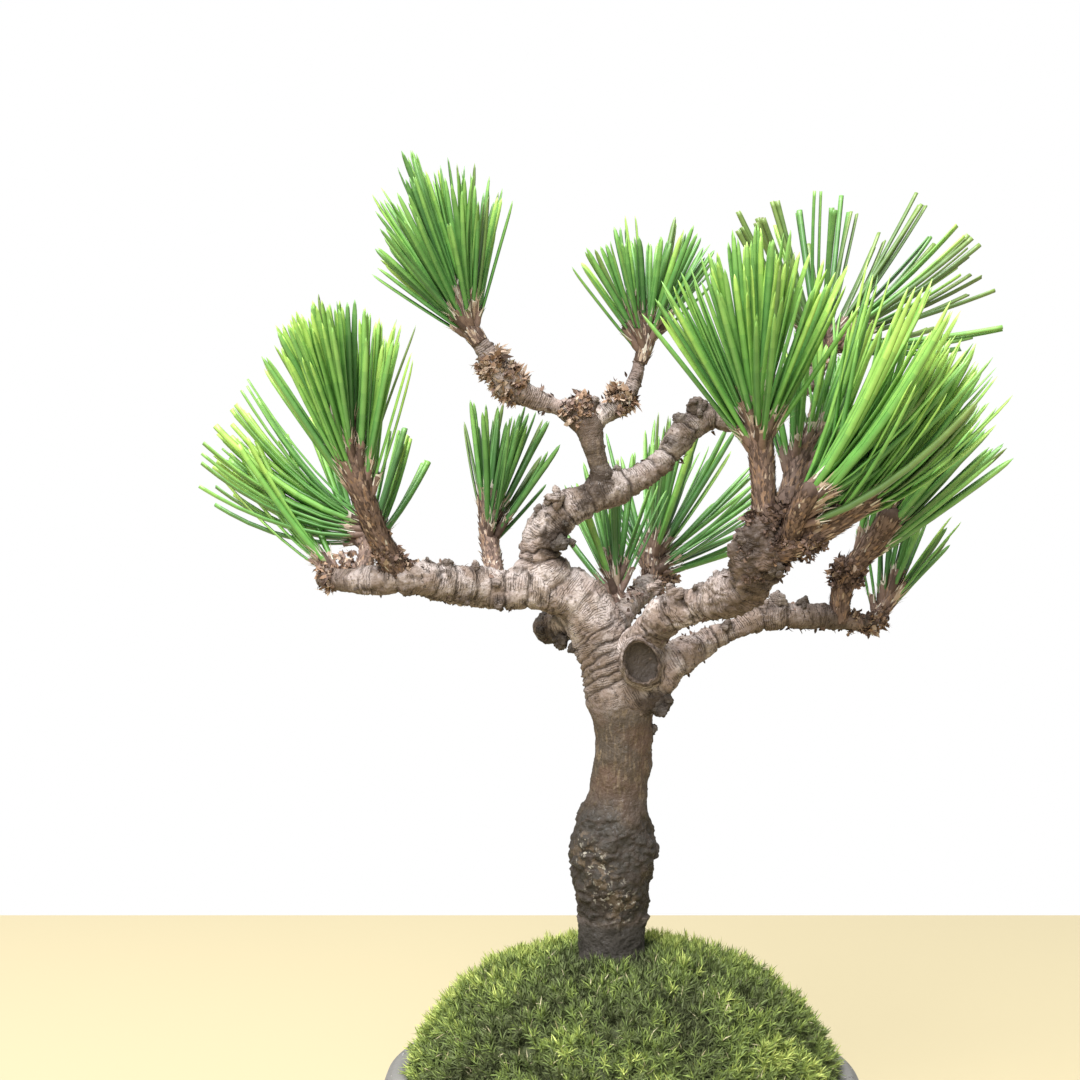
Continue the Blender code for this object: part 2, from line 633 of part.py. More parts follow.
def build_needle(spine, out, trimmed):
    """A pair of needles as one three-sided blade: pointed, or cut off where the needles were trimmed."""
    heading = spine[-1] - spine[0]
    heading /= np.linalg.norm(heading)
    across = np.cross(heading, out)
    across /= np.linalg.norm(across)
    outer = np.cross(across, heading)
    ring = [a * NEEDLE_HALF_WIDTH * across + b * NEEDLE_HALF_DEPTH * outer for a, b in NEEDLE_CORNERS]
    sides = len(ring)
    rings = spine if trimmed else spine[:-1]
    vertices = [point + corner for point in rings for corner in ring]
    faces = ring_faces(len(rings), sides)
    if not trimmed:
        tip = len(vertices)
        vertices.append(spine[-1])
        faces[-1:] = [(tip - sides + s, tip - sides + (s + 1) % sides, tip) for s in range(sides)]
    work = bmesh.new()
    points = [work.verts.new(v) for v in vertices]
    for face in faces:
        work.faces.new([points[i] for i in face])
    bmesh.ops.recalc_face_normals(work, faces=work.faces)
    mesh = bpy.data.meshes.new("needle")
    work.to_mesh(mesh)
    work.free()
    return bpy.data.objects.new("needle", mesh)


def build_stem(name, shoot, finish=None):
    """A shoot's wood: a tapering tube that ends in a small bud."""
    line, radii = route_line(shoot.route, SHOOT_STEP)
    radii[-1] *= BUD_RADIUS
    return tube(name, line, radii, STEM_SIDES, finish=finish)


def build_mass(mass, finish):
    """One mass of needles: its stem, cut clear of the bough, with forks and needles fused on."""
    chance = np.random.default_rng(mass.seed)
    stem = build_stem(mass.name, mass.shoots[0], finish)
    cut_clear(stem, mass.hosts)
    parts = bpy.data.collections.new("parts")
    bpy.context.scene.collection.children.link(parts)
    for fork in mass.shoots[1:]:
        obj = build_stem("fork", fork)
        cut_clear(obj, mass.hosts)
        bpy.context.scene.collection.objects.unlink(obj)
        parts.objects.link(obj)
    for shoot in mass.shoots:
        for spine, out in needle_spines(mass, shoot, chance):
            parts.objects.link(build_needle(spine, out, shoot.trimmed))
    join = stem.modifiers.new("join", "BOOLEAN")
    join.operation = "UNION"
    join.operand_type = "COLLECTION"
    join.solver = "MANIFOLD"
    join.collection = parts
    apply_modifiers(stem)
    for obj in list(parts.objects):
        remove(obj)
    bpy.data.collections.remove(parts)
    keep_largest_body(stem)
    return stem


def build_all():
    """Builds the pot, the root ball, the moss, the wood and the needles."""
    clear_scene()
    clay = material("grey_stoneware", (0.30, 0.31, 0.32), 0.55)
    soil = material("soil", (0.10, 0.07, 0.05), 0.95)
    green_moss = material("moss", (0.20, 0.30, 0.06), 0.9)
    bark = material("bark", (0.30, 0.23, 0.19), 0.85)
    needles = material("needles", (0.13, 0.33, 0.07), 0.5)

    build_pot(clay)
    build_root_ball(soil)
    build_moss(green_moss, TRUNK.route[0][3] * MM * (1 + 2 * BARK_WOBBLE) + HOLE_MARGIN)
    for limb in LIMBS.values():
        cut_clear(build_limb(limb, sides_of(limb.name), finish=bark), limb.hosts)
    build_scar(bark)
    for mass in MASSES:
        build_mass(mass, needles)


build_all()
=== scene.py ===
"""Looks of a small Japanese black pine bonsai in a round grey stoneware pot.

Every shape is worked out in millimetres in the part's frame, and becomes metres when its mesh is made.
The origin is the middle of the pot's flat underside, +Z is up, and the viewer's side is -Y.
Routes of wood and needles are given from the middle of the trunk's foot, as in the part's source.
"""

import logging
import math
from dataclasses import dataclass, field
from enum import Enum, IntEnum

import bpy
import numpy as np
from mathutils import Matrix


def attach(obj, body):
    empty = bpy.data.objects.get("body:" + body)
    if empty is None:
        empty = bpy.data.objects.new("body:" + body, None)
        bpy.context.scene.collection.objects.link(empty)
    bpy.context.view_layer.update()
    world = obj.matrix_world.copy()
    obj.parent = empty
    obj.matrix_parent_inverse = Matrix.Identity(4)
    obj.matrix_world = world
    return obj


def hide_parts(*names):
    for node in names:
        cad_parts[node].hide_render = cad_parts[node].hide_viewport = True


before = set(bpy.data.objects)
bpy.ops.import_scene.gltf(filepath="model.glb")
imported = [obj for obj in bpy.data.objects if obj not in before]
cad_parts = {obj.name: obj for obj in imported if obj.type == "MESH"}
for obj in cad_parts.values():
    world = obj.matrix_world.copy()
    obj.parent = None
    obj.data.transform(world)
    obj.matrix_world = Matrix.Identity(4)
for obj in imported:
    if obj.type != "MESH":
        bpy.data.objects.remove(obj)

Array = np.ndarray
Colour = tuple[float, float, float]
Point = tuple[float, float, float]
Route = tuple[tuple[float, float, float, float], ...]
Chance = np.random.Generator
Material = bpy.types.Material
Piece = bpy.types.Object
Socket = bpy.types.NodeSocket

LOG = logging.getLogger("bonsai")
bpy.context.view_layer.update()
MM = 0.001
FOOT = np.array((-1.6, 0.0, 70.3))
UP = np.array((0.0, 0.0, 1.0))
GOLDEN_ANGLE = math.radians(137.508)


# Arrays


def unit(vectors: Array) -> Array:
    """Vectors along the last axis, made one long."""
    return vectors / np.maximum(np.linalg.norm(vectors, axis=-1, keepdims=True), 1e-12)


def smooth_step(values: Array, low: float, high: float) -> Array:
    """Rises from 0 at low to 1 at high as 3t^2 - 2t^3. Falls where low is above high."""
    t = np.clip((values - low) / (high - low), 0.0, 1.0)
    return t * t * (3.0 - 2.0 * t)


def scramble(cells: Array, seed: int) -> Array:
    """Repeatable numbers between 0 and 1 for whole-number cells, by multiplying and folding their bits.

    Args:
        cells: whole numbers, three to a cell.
        seed: picks one of many such tables.

    Returns:
        One number for each cell.
    """
    x, y, z = (cells[..., k].astype(np.int64).astype(np.uint32) for k in range(3))
    mixed = x * np.uint32(374761393) + y * np.uint32(668265263) + z * np.uint32(2246822519)
    mixed = mixed + np.uint32((seed * 3266489917) & 0xFFFFFFFF)
    mixed = (mixed ^ (mixed >> np.uint32(13))) * np.uint32(1274126177)
    mixed = mixed ^ (mixed >> np.uint32(16))
    return (mixed & np.uint32(0xFFFFFF)) / float(0xFFFFFF)


def noise(points: Array, scale: float | Point, seed: int = 0, octaves: int = 1) -> Array:
    """Smooth noise between about -1 and 1.

    Scrambled values on a lattice are blended by 3t^2 - 2t^3 along each axis. Each further octave is twice as
    fine and half as strong.

    Args:
        points: positions in millimetres.
        scale: lattice cells to a millimetre, one number or one for each axis.
        seed: picks the pattern.
        octaves: how many sizes of pattern are summed.

    Returns:
        One value for each point.
    """
    total, strength, reach = 0.0, 1.0, 0.0
    for octave in range(octaves):
        places = points * np.asarray(scale, float) * 2.0**octave
        cell = np.floor(places).astype(np.int64)
        share = places - cell
        share = share * share * (3.0 - 2.0 * share)
        value = 0.0
        for corner in np.ndindex(2, 2, 2):
            weight = np.prod(np.where(corner, share, 1.0 - share), axis=-1)
            value = value + weight * scramble(cell + np.array(corner), seed + 17 * octave)
        total = total + strength * (2.0 * value - 1.0)
        reach += strength
        strength *= 0.5
    return total / reach


def patchy(points: Array, scale: float, seed: int, octaves: int, low: float, high: float) -> Array:
    """Noise that is cut to between 0 and 1: it rises smoothly between two levels."""
    return smooth_step(noise(points, scale, seed, octaves), low, high)


def plates(points: Array, scale: float | Point, seed: int) -> tuple[Array, Array]:
    """Splits space in irregular plates, each the set of points nearest to one scattered centre.

    Args:
        points: positions in millimetres.
        scale: plates to a millimetre, one number or one for each axis.
        seed: picks the pattern.

    Returns:
        How far each point is inside its plate's border, and one number between 0 and 1 for each plate.
    """
    places = points * np.asarray(scale, float)
    cell = np.floor(places).astype(np.int64)
    first = np.full(points.shape[:-1], 9.0)
    second, level = first.copy(), first.copy()
    for step in np.ndindex(3, 3, 3):
        near = cell + np.array(step) - 1
        centre = near + np.stack([scramble(near, seed + k) for k in range(3)], axis=-1)
        apart = np.linalg.norm(places - centre, axis=-1)
        closer = apart < first
        second = np.where(closer, first, np.minimum(second, apart))
        level = np.where(closer, scramble(near, seed + 5), level)
        first = np.where(closer, apart, first)
    return second - first, level


def smooth_line(rows: Array, step: float) -> Array:
    """A Catmull-Rom curve through rows of numbers that start with a point.

    Args:
        rows: the given points, with a radius or nothing after each.
        step: the distance between the samples.

    Returns:
        Rows sampled evenly along the curve.
    """
    given = np.asarray(rows, float)
    fine = given
    if len(given) > 2:
        ends = np.vstack([2 * given[0] - given[1], given, 2 * given[-1] - given[-2]])
        a, b, c, d = (part[:, None, :] for part in (ends[:-3], ends[1:-2], ends[2:-1], ends[3:]))
        t = np.linspace(0, 1, 24, endpoint=False)[None, :, None]
        square, cube = 2 * a - 5 * b + 4 * c - d, 3 * b - a - 3 * c + d
        spans = 0.5 * (2 * b + (c - a) * t + square * t**2 + cube * t**3)
        fine = np.vstack([spans.reshape(-1, given.shape[1]), given[-1]])
    along = distances_along(fine[:, :3])
    wanted = np.linspace(0, along[-1], max(2, round(along[-1] / step) + 1))
    return np.stack([np.interp(wanted, along, column) for column in fine.T], axis=1)


def distances_along(line: Array) -> Array:
    """The distance of each point of a line from its start."""
    return np.concatenate([[0.0], np.cumsum(np.linalg.norm(np.diff(line, axis=0), axis=1))])


def rows_at(along: Array, values: Array, at: Array) -> Array:
    """The rows of values at some distances along a line."""
    return np.stack([np.interp(at, along, column) for column in values.T], axis=1)


def frames_along(line: Array) -> tuple[Array, Array, Array]:
    """Tangents, sides and ups: a frame carried along the line without twist."""
    tangents = unit(np.gradient(line, axis=0))
    start = np.array((1.0, 0.0, 0.0)) if abs(tangents[0, 0]) < 0.9 else np.array((0.0, 1.0, 0.0))
    sides = []
    for tangent in tangents:
        start = unit(start - tangent * (start @ tangent))
        sides.append(start)
    sides = np.array(sides)
    return tangents, sides, np.cross(tangents, sides)


def across_of(headings: Array) -> Array:
    """For each heading, a level direction square to it."""
    flat = np.cross(headings, UP)
    steep = np.linalg.norm(flat, axis=-1, keepdims=True) < 1e-6
    return unit(np.where(steep, np.array((1.0, 0.0, 0.0)), flat))


def around(turn: Array, first: Array, second: Array) -> Array:
    """Directions turned by an angle from a first one towards a second: cos(turn) first + sin(turn) second."""
    return np.cos(turn)[..., None] * first + np.sin(turn)[..., None] * second


def square_to(headings: Array, wanted: Array, nudge: float = 0.0) -> Array:
    """Each wanted direction made square to its heading. A nudge keeps it from being nothing."""
    return unit(wanted - headings * np.sum(wanted * headings, axis=-1, keepdims=True) + nudge)


def ring_angles(sides: int) -> Array:
    """Evenly spaced angles round a ring."""
    return np.arange(sides) * 2 * math.pi / sides


class Stem:
    """The middle line of a limb or shoot with its radii and frames, read at any distance along it."""

    def __init__(self, rows: Array) -> None:
        """Takes rows of (x, y, z, radius) that are given from the foot."""
        self.line, self.radii = rows[:, :3] + FOOT, rows[:, 3]
        self.along = distances_along(self.line)
        self.length = self.along[-1]
        self.frames = frames_along(self.line)

    def points(self, at: Array) -> Array:
        """Its points at some distances."""
        return rows_at(self.along, self.line, at)

    def radius(self, at: Array) -> Array:
        """Its radii at some distances."""
        return np.interp(at, self.along, self.radii)

    def directions(self, at: Array, turn: Array) -> tuple[Array, Array]:
        """The directions along it at some distances, and out of it at some turns."""
        axis, first, second = (rows_at(self.along, values, at) for values in self.frames)
        return axis, around(turn, first, second)


# Meshes


def tube_faces(rings: int, sides: int) -> list[Array]:
    """Faces of a closed tube: quads between its rings, and a flat many-sided cap on each end."""
    ring, side = np.meshgrid(np.arange(rings - 1), np.arange(sides), indexing="ij")
    here, after = ring * sides + side, ring * sides + (side + 1) % sides
    quads = np.stack([here, after, after + sides, here + sides], axis=-1).reshape(-1, 4)
    start, end = np.arange(sides)[::-1][None], np.arange(sides)[None] + (rings - 1) * sides
    return [quads, start, end]


class MeshParts:
    """Gathers shapes as arrays, to join them in one mesh."""

    def __init__(self) -> None:
        """Starts without any shape."""
        self.vertices: list[Array] = []
        self.corners: list[Array] = []
        self.sizes: list[Array] = []
        self.slots: list[Array] = []
        self.count = 0

    def add(self, vertices: Array, faces: list[Array], slots: list[Array | int] | int = 0) -> None:
        """Adds one shape.

        Args:
            vertices: its points in millimetres.
            faces: groups of faces with equally many corners, as rows of vertex numbers.
            slots: the material slot of each group's faces, or one for all.
        """
        vertices = vertices.reshape(-1, 3)
        shared = [slots] * len(faces) if isinstance(slots, int) else slots
        for group, slot in zip(faces, shared):
            self.corners.append((group + self.count).ravel())
            self.sizes.append(np.full(len(group), group.shape[1]))
            self.slots.append(np.broadcast_to(slot, len(group)))
        self.vertices.append(vertices)
        self.count += len(vertices)

    def add_copies(self, vertices: Array, faces: list[Array], slots: list[Array]) -> None:
        """Adds many shapes with the same faces.

        Args:
            vertices: the points of each, as (shapes, points, 3).
            faces: the faces of one shape, in groups with equally many corners.
            slots: for each group, the material slots as (shapes, faces).
        """
        shapes, points = vertices.shape[:2]
        shift = (np.arange(shapes) * points)[:, None, None]
        moved = [(group[None] + shift).reshape(-1, group.shape[1]) for group in faces]
        spread = [np.broadcast_to(slot, (shapes, len(group))).ravel() for slot, group in zip(slots, faces)]
        self.add(vertices, moved, spread)

    def add_leaves(
        self, roots: Array, headings: Array, faces: Array, lengths: Array, widths: Array, curls: Array,
        shape: tuple[float, ...], slots: Array, stray: Array | float = 0.0,
    ) -> None:
        """Adds many small flat leaves, with two points in each row and one at the tip.

        A leaf's middle line is root + t * length * heading + t^2 * length * curl * face. Its half width at
        each row is its share in the shape times half the leaf's width.

        Args:
            roots: where each leaf starts.
            headings: which way each points at its root.
            faces: which way each one's upper side looks.
            lengths: how long each is.
            widths: how wide each is.
            curls: how far each bends towards its upper side, as a share of its length.
            shape: the width at each row as a share. The tip follows at the end.
            slots: the material slot of each.
            stray: how far each point is moved off its place.
        """
        rows = len(shape)
        side = unit(np.cross(headings, faces))
        t = np.append(np.arange(rows) / rows, 1.0)[None, :, None]
        steps = t * headings[:, None] + t**2 * (curls[:, None] * faces)[:, None]
        spine = roots[:, None] + steps * lengths[:, None, None]
        half = side[:, None] * (0.5 * widths)[:, None, None] * np.array(shape)[None, :, None]
        pairs = np.stack([spine[:, :-1] - half, spine[:, :-1] + half], axis=2)
        points = np.concatenate([pairs.reshape(len(roots), 2 * rows, 3), spine[:, -1:]], axis=1) + stray
        quads = np.array([(2 * r, 2 * r + 1, 2 * r + 3, 2 * r + 2) for r in range(rows - 1)])
        tip = np.array([(2 * rows - 2, 2 * rows - 1, 2 * rows)])
        slot = slots[:, None]
        self.add_copies(points, [quads, tip], [slot, slot])

    def build(self, name: str, materials: list[Material], **attributes: Array) -> Piece:
        """Makes the object, at the origin and unscaled.

        Args:
            name: the piece's name.
            materials: its material slots.
            attributes: numbers for each vertex, which its material reads by name.

        Returns:
            The object, linked to the scene.
        """
        mesh = bpy.data.meshes.new(name)
        vertices = np.concatenate(self.vertices) * MM
        corners, sizes = np.concatenate(self.corners), np.concatenate(self.sizes)
        mesh.vertices.add(len(vertices))
        mesh.vertices.foreach_set("co", vertices.astype(np.float32).ravel())
        mesh.loops.add(len(corners))
        mesh.loops.foreach_set("vertex_index", corners.astype(np.int32))
        mesh.polygons.add(len(sizes))
        mesh.polygons.foreach_set("loop_start", np.concatenate([[0], np.cumsum(sizes)[:-1]]).astype(np.int32))
        for material in materials:
            mesh.materials.append(material)
        mesh.polygons.foreach_set("material_index", np.concatenate(self.slots).astype(np.int32))
        mesh.polygons.foreach_set("use_smooth", np.ones(len(sizes), bool))
        for label, values in attributes.items():
            mesh.attributes.new(label, "FLOAT", "POINT").data.foreach_set("value", values.astype(np.float32))
        mesh.update(calc_edges=True)
        mesh.validate()
        obj = bpy.data.objects.new(name, mesh)
        bpy.context.scene.collection.objects.link(obj)
        LOG.info("%s: %d triangles", name, int((sizes - 2).sum()))
        return obj


def tube_piece(name: str, surface: Array, materials: list[Material], slot: int = 0, **levels: Array) -> Piece:
    """Makes a piece of one closed tube, from its grid of rings and its levels for each point."""
    parts = MeshParts()
    parts.add(surface, tube_faces(*surface.shape[:2]), slot)
    return parts.build(name, materials, **levels)


def place(obj: Piece, slot: str, *nodes: str) -> Piece:
    """Lets a finished piece ride on the part's one body, and hides the solids that it stands for."""
    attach(obj, "root")
    if nodes:
        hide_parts(*nodes)
    return obj


# Finishes


class Shader:
    """A node tree with short calls for the nodes that this model's finishes use."""

    def __init__(self, tree: bpy.types.NodeTree) -> None:
        """Keeps the tree that its nodes go into."""
        self.tree = tree

    def add(self, kind: str, inputs: dict | None = None, **settings: object) -> bpy.types.Node:
        """Adds a node.

        Args:
            kind: the node's type name.
            inputs: values or sockets for its inputs, by name or number.
            settings: the node's own options.

        Returns:
            The node.
        """
        node = self.tree.nodes.new(kind)
        for key, value in settings.items():
            setattr(node, key, value)
        for key, value in (inputs or {}).items():
            if isinstance(value, Socket):
                self.tree.links.new(value, node.inputs[key])
            else:
                node.inputs[key].default_value = value
        return node

    def where(self) -> Socket:
        """The surface point, in the object's own metres."""
        return self.add("ShaderNodeTexCoord").outputs["Object"]

    def attribute(self, name: str) -> Socket:
        """A number that the mesh carries on its vertices."""
        return self.add("ShaderNodeAttribute", attribute_name=name).outputs["Fac"]

    def mix(self, factor: object, first: object, second: object) -> Socket:
        """A colour between two colours."""
        first, second = ((*c, 1.0) if isinstance(c, tuple) else c for c in (first, second))
        return self.add("ShaderNodeMix", {0: factor, 6: first, 7: second}, data_type="RGBA").outputs[2]

    def maths(self, operation: str, first: object, second: object = 0.0, clamp: bool = False) -> object:
        """A sum, product or the like of two numbers."""
        made = self.add("ShaderNodeMath", {0: first, 1: second}, operation=operation, use_clamp=clamp)
        return made.outputs[0]

    def spread(self, value: object, low: float, high: float) -> Socket:
        """Stretches the range from low to high to 0 to 1, smoothly, and cuts off what is outside it."""
        inputs = {"Value": value, "From Min": low, "From Max": high}
        return self.add("ShaderNodeMapRange", inputs, interpolation_type="SMOOTHSTEP").outputs["Result"]

    def times(self, first: object, second: object) -> Socket:
        """The product of two numbers."""
        return self.maths("MULTIPLY", first, second)

    def cloud(self, **inputs: object) -> Socket:
        """Noise between 0 and 1 on the object's own coordinates."""
        return self.add("ShaderNodeTexNoise", {"Vector": self.where(), **inputs}).outputs["Fac"]

    def mask(self, tree: bpy.types.NodeTree, **inputs: object) -> Socket:
        """Places a node group and gives its mask."""
        return self.add("ShaderNodeGroup", inputs, node_tree=tree).outputs["Mask"]

    def link(self, value: Socket, node: bpy.types.Node, label: str) -> None:
        """Leads a value to a node's input."""
        self.tree.links.new(value, node.inputs[label])


def new_group(name: str, inputs: dict[str, float]) -> tuple[Shader, dict, bpy.types.Node]:
    """Starts a shader node group that gives one mask.

    Args:
        name: the group's name.
        inputs: its inputs and their usual values.

    Returns:
        The group's shader, its input sockets by name, and its output node.
    """
    tree = bpy.data.node_groups.new(name, "ShaderNodeTree")
    for label, value in inputs.items():
        tree.interface.new_socket(label, in_out="INPUT", socket_type="NodeSocketFloat").default_value = value
    tree.interface.new_socket("Mask", in_out="OUTPUT", socket_type="NodeSocketFloat")
    shader = Shader(tree)
    entry = shader.add("NodeGroupInput")
    return shader, {label: entry.outputs[label] for label in inputs}, shader.add("NodeGroupOutput")


def mottle_group() -> bpy.types.NodeTree:
    """Soft patches: noise that is stretched between two levels."""
    shader, given, out = new_group("Mottle", {"Scale": 300.0, "Detail": 3.0, "Low": 0.4, "High": 0.6})
    cloud = shader.cloud(Scale=given["Scale"], Detail=given["Detail"])
    shader.link(shader.spread(cloud, given["Low"], given["High"]), out, "Mask")
    return shader.tree


def speck_group() -> bpy.types.NodeTree:
    """Small round specks: the middles of scattered cells, kept where a coarser noise is high."""
    shader, given, out = new_group("Specks", {"Scale": 900.0, "Size": 0.25, "Patch": 0.5})
    cells = shader.add("ShaderNodeTexVoronoi", {"Vector": shader.where(), "Scale": given["Scale"]})
    small = shader.maths("LESS_THAN", cells.outputs["Distance"], given["Size"])
    patch = shader.maths("GREATER_THAN", shader.cloud(Scale=260.0, Detail=2.0), given["Patch"])
    shader.link(shader.times(small, patch), out, "Mask")
    return shader.tree


def fleck_group() -> bpy.types.NodeTree:
    """Irregular flecks: the peaks of a rough noise."""
    shader, given, out = new_group("Flecks", {"Scale": 900.0, "Low": 0.58, "High": 0.64})
    cloud = shader.cloud(Scale=given["Scale"], Detail=4.0, Roughness=0.65, Distortion=0.6)
    shader.link(shader.spread(cloud, given["Low"], given["High"]), out, "Mask")
    return shader.tree


def wrinkle_group() -> bpy.types.NodeTree:
    """Thin broken lines round a limb: evenly spaced along it, bent by noise, and faded out by another."""
    usual = {"Along": 0.0, "Often": 0.75, "Sway": 1.0, "Width": 0.1, "Fade": 0.4}
    shader, given, out = new_group("Wrinkles", usual)
    sway = shader.maths("SUBTRACT", shader.cloud(Scale=300.0, Detail=4.0, Roughness=0.55), 0.5)
    spaced = shader.times(given["Along"], given["Often"])
    phase = shader.maths("ADD", spaced, shader.times(sway, given["Sway"]))
    away = shader.maths("ABSOLUTE", shader.maths("SUBTRACT", shader.maths("FRACT", phase), 0.5))
    full = shader.maths("ADD", given["Fade"], 0.12)
    kept = shader.spread(shader.cloud(Scale=520.0, Detail=2.0), given["Fade"], full)
    shader.link(shader.times(shader.spread(away, given["Width"], 0.0), kept), out, "Mask")
    return shader.tree


MOTTLE = mottle_group()
SPECKS = speck_group()
FLECKS = fleck_group()
WRINKLES = wrinkle_group()


def new_material(name: str, roughness: float, specular: float = 0.5) -> tuple[Material, Shader, object]:
    """Starts a material.

    Args:
        name: the material's name.
        roughness: its plain roughness.
        specular: its plain specular level.

    Returns:
        The material, its shader and its Principled node.
    """
    made = bpy.data.materials.new(name)
    made.use_nodes = True
    surface = made.node_tree.nodes["Principled BSDF"]
    surface.inputs["Roughness"].default_value = roughness
    surface.inputs["Specular IOR Level"].default_value = specular
    return made, Shader(made.node_tree), surface


@dataclass(frozen=True)
class LeafFinish:
    """Needle, scale or moss colour: one plain colour with a soft, unplaced variation to a second one."""

    name: str
    colour: Colour
    second: Colour
    roughness: float = 0.5
    specular: float = 0.4
    scale: float = 420.0

    def build(self) -> Material:
        """Makes the material."""
        made, shader, surface = new_material(self.name, self.roughness, self.specular)
        mask = shader.mask(MOTTLE, Scale=self.scale, Low=0.3, High=0.7)
        colour = shader.mix(mask, self.colour, self.second)
        shader.link(colour, surface, "Base Color")
        return made


@dataclass(frozen=True)
class BarkFinish:
    """Bark from the pale grey of the boughs to the brown trunk and the nearly black foot.

    The mesh carries where it is grooved, shaded below, brown, dark, young or flecked, and how far along its
    limb it is.
    """

    name: str = "bark"
    pale: Colour = (0.5, 0.434, 0.412)
    rosy: Colour = (0.282, 0.212, 0.184)
    tan: Colour = (0.205, 0.146, 0.102)
    # Umber: the pores, and the painted shade on the limbs' undersides and in some spots.
    umber_and_shade: Colour = (0.11, 0.077, 0.054)
    brown: Colour = (0.056, 0.043, 0.032)
    russet: Colour = (0.084, 0.054, 0.038)
    straw: Colour = (0.15, 0.112, 0.072)
    dark: Colour = (0.034, 0.0295, 0.025)
    groove: Colour = (0.04, 0.028, 0.021)
    young: Colour = (0.15, 0.098, 0.076)
    lichen: Colour = (0.33, 0.305, 0.25)
    ochre: Colour = (0.1, 0.075, 0.052)

    def build(self) -> Material:
        """Makes the material."""
        made, shader, surface = new_material(self.name, 0.8, 0.25)
        along = shader.attribute("along")
        patch = shader.mask(MOTTLE, Scale=190.0, Low=0.4, High=0.62)
        grain = shader.mask(MOTTLE, Scale=2100.0, Detail=4.0, Low=0.3, High=0.7)
        blotch = shader.mask(MOTTLE, Scale=430.0, Detail=4.0, Low=0.5, High=0.6)
        lower = shader.attribute("brown")
        colour = shader.mix(shader.times(patch, 0.85), self.pale, self.rosy)
        colour = shader.mix(shader.times(blotch, 0.45), colour, self.tan)
        pores = shader.mask(FLECKS, Scale=1700.0, Low=0.5, High=0.66)
        colour = shader.mix(shader.times(pores, 0.62), colour, self.umber_and_shade)
        # Painted shade: the under level mixes towards umber; on the limbs it is painted shade on their
        # undersides and in some spots, with brown stains, and on the knobs it follows their darkness.
        colour = shader.mix(shader.times(shader.attribute("under"), 0.8), colour, self.umber_and_shade)
        colour = shader.mix(shader.attribute("young"), colour, shader.mix(patch, self.young, self.groove))
        colour = shader.mix(lower, colour, self.trunk(shader, grain, patch))
        night = shader.mix(grain, self.dark, tuple(1.5 * c for c in self.dark))
        colour = shader.mix(shader.attribute("dark"), colour, night)
        lines = self.lines(shader, along, lower)
        colour = shader.mix(shader.times(lines, 0.78), colour, self.groove)
        colour = shader.mix(shader.times(shader.attribute("groove"), 0.92), colour, self.groove)
        flecked = shader.attribute("fleck")
        ochre = shader.mask(FLECKS, Scale=420.0, Low=0.5, High=0.56)
        colour = shader.mix(shader.times(flecked, ochre), colour, self.ochre)
        white = shader.mask(FLECKS, Scale=950.0, Low=0.585, High=0.64)
        colour = shader.mix(shader.times(flecked, white), colour, self.lichen)
        shader.link(colour, surface, "Base Color")
        shader.link(shader.spread(grain, -0.6, 1.2), surface, "Roughness")
        height = shader.maths("SUBTRACT", shader.times(grain, 0.5), lines)
        bump = shader.add("ShaderNodeBump", {"Height": height, "Strength": 1.0, "Distance": 0.18 * MM})
        shader.link(bump.outputs["Normal"], surface, "Normal")
        return made

    def lines(self, shader: Shader, along: object, lower: object) -> Socket:
        """Dark lines round the limb: bold ones everywhere, and fine ones in patches."""
        wide = shader.mask(WRINKLES, Along=along, Often=0.62, Sway=2.8, Width=0.06, Fade=0.42)
        thin = shader.mask(WRINKLES, Along=along, Often=2.4, Sway=3.2, Width=0.24, Fade=0.41)
        rough = shader.mask(MOTTLE, Scale=260.0, Detail=3.0, Low=0.37, High=0.55)
        fine = shader.times(thin, shader.times(rough, 0.6))
        weathered = shader.maths("MAXIMUM", lower, shader.attribute("dark"))
        upper = shader.maths("SUBTRACT", 1.0, shader.times(weathered, 0.96), clamp=True)
        return shader.times(shader.maths("MAXIMUM", wide, fine), upper)

    def trunk(self, shader: Shader, grain: object, patch: object) -> Socket:
        """The lower trunk: dark and red browns in blotches, with upright straw-coloured streaks."""
        base = shader.mix(grain, self.brown, tuple(1.35 * c for c in self.brown))
        red = shader.mask(MOTTLE, Scale=150.0, Low=0.45, High=0.62)
        colour = shader.mix(red, base, self.russet)
        streaked = shader.times(self.streaks(shader), shader.spread(patch, -0.6, 1.2))
        return shader.mix(streaked, colour, self.straw)

    def streaks(self, shader: Shader) -> Socket:
        """Upright streaks for the lower trunk: noise that is fine round it and long up it."""
        scale = (1900.0, 1900.0, 480.0)
        stretch = shader.add("ShaderNodeMapping", {"Vector": shader.where(), "Scale": scale})
        cloud = shader.add("ShaderNodeTexNoise", {"Vector": stretch.outputs[0], "Scale": 1.0, "Detail": 4.0})
        return shader.spread(cloud.outputs["Fac"], 0.48, 0.68)


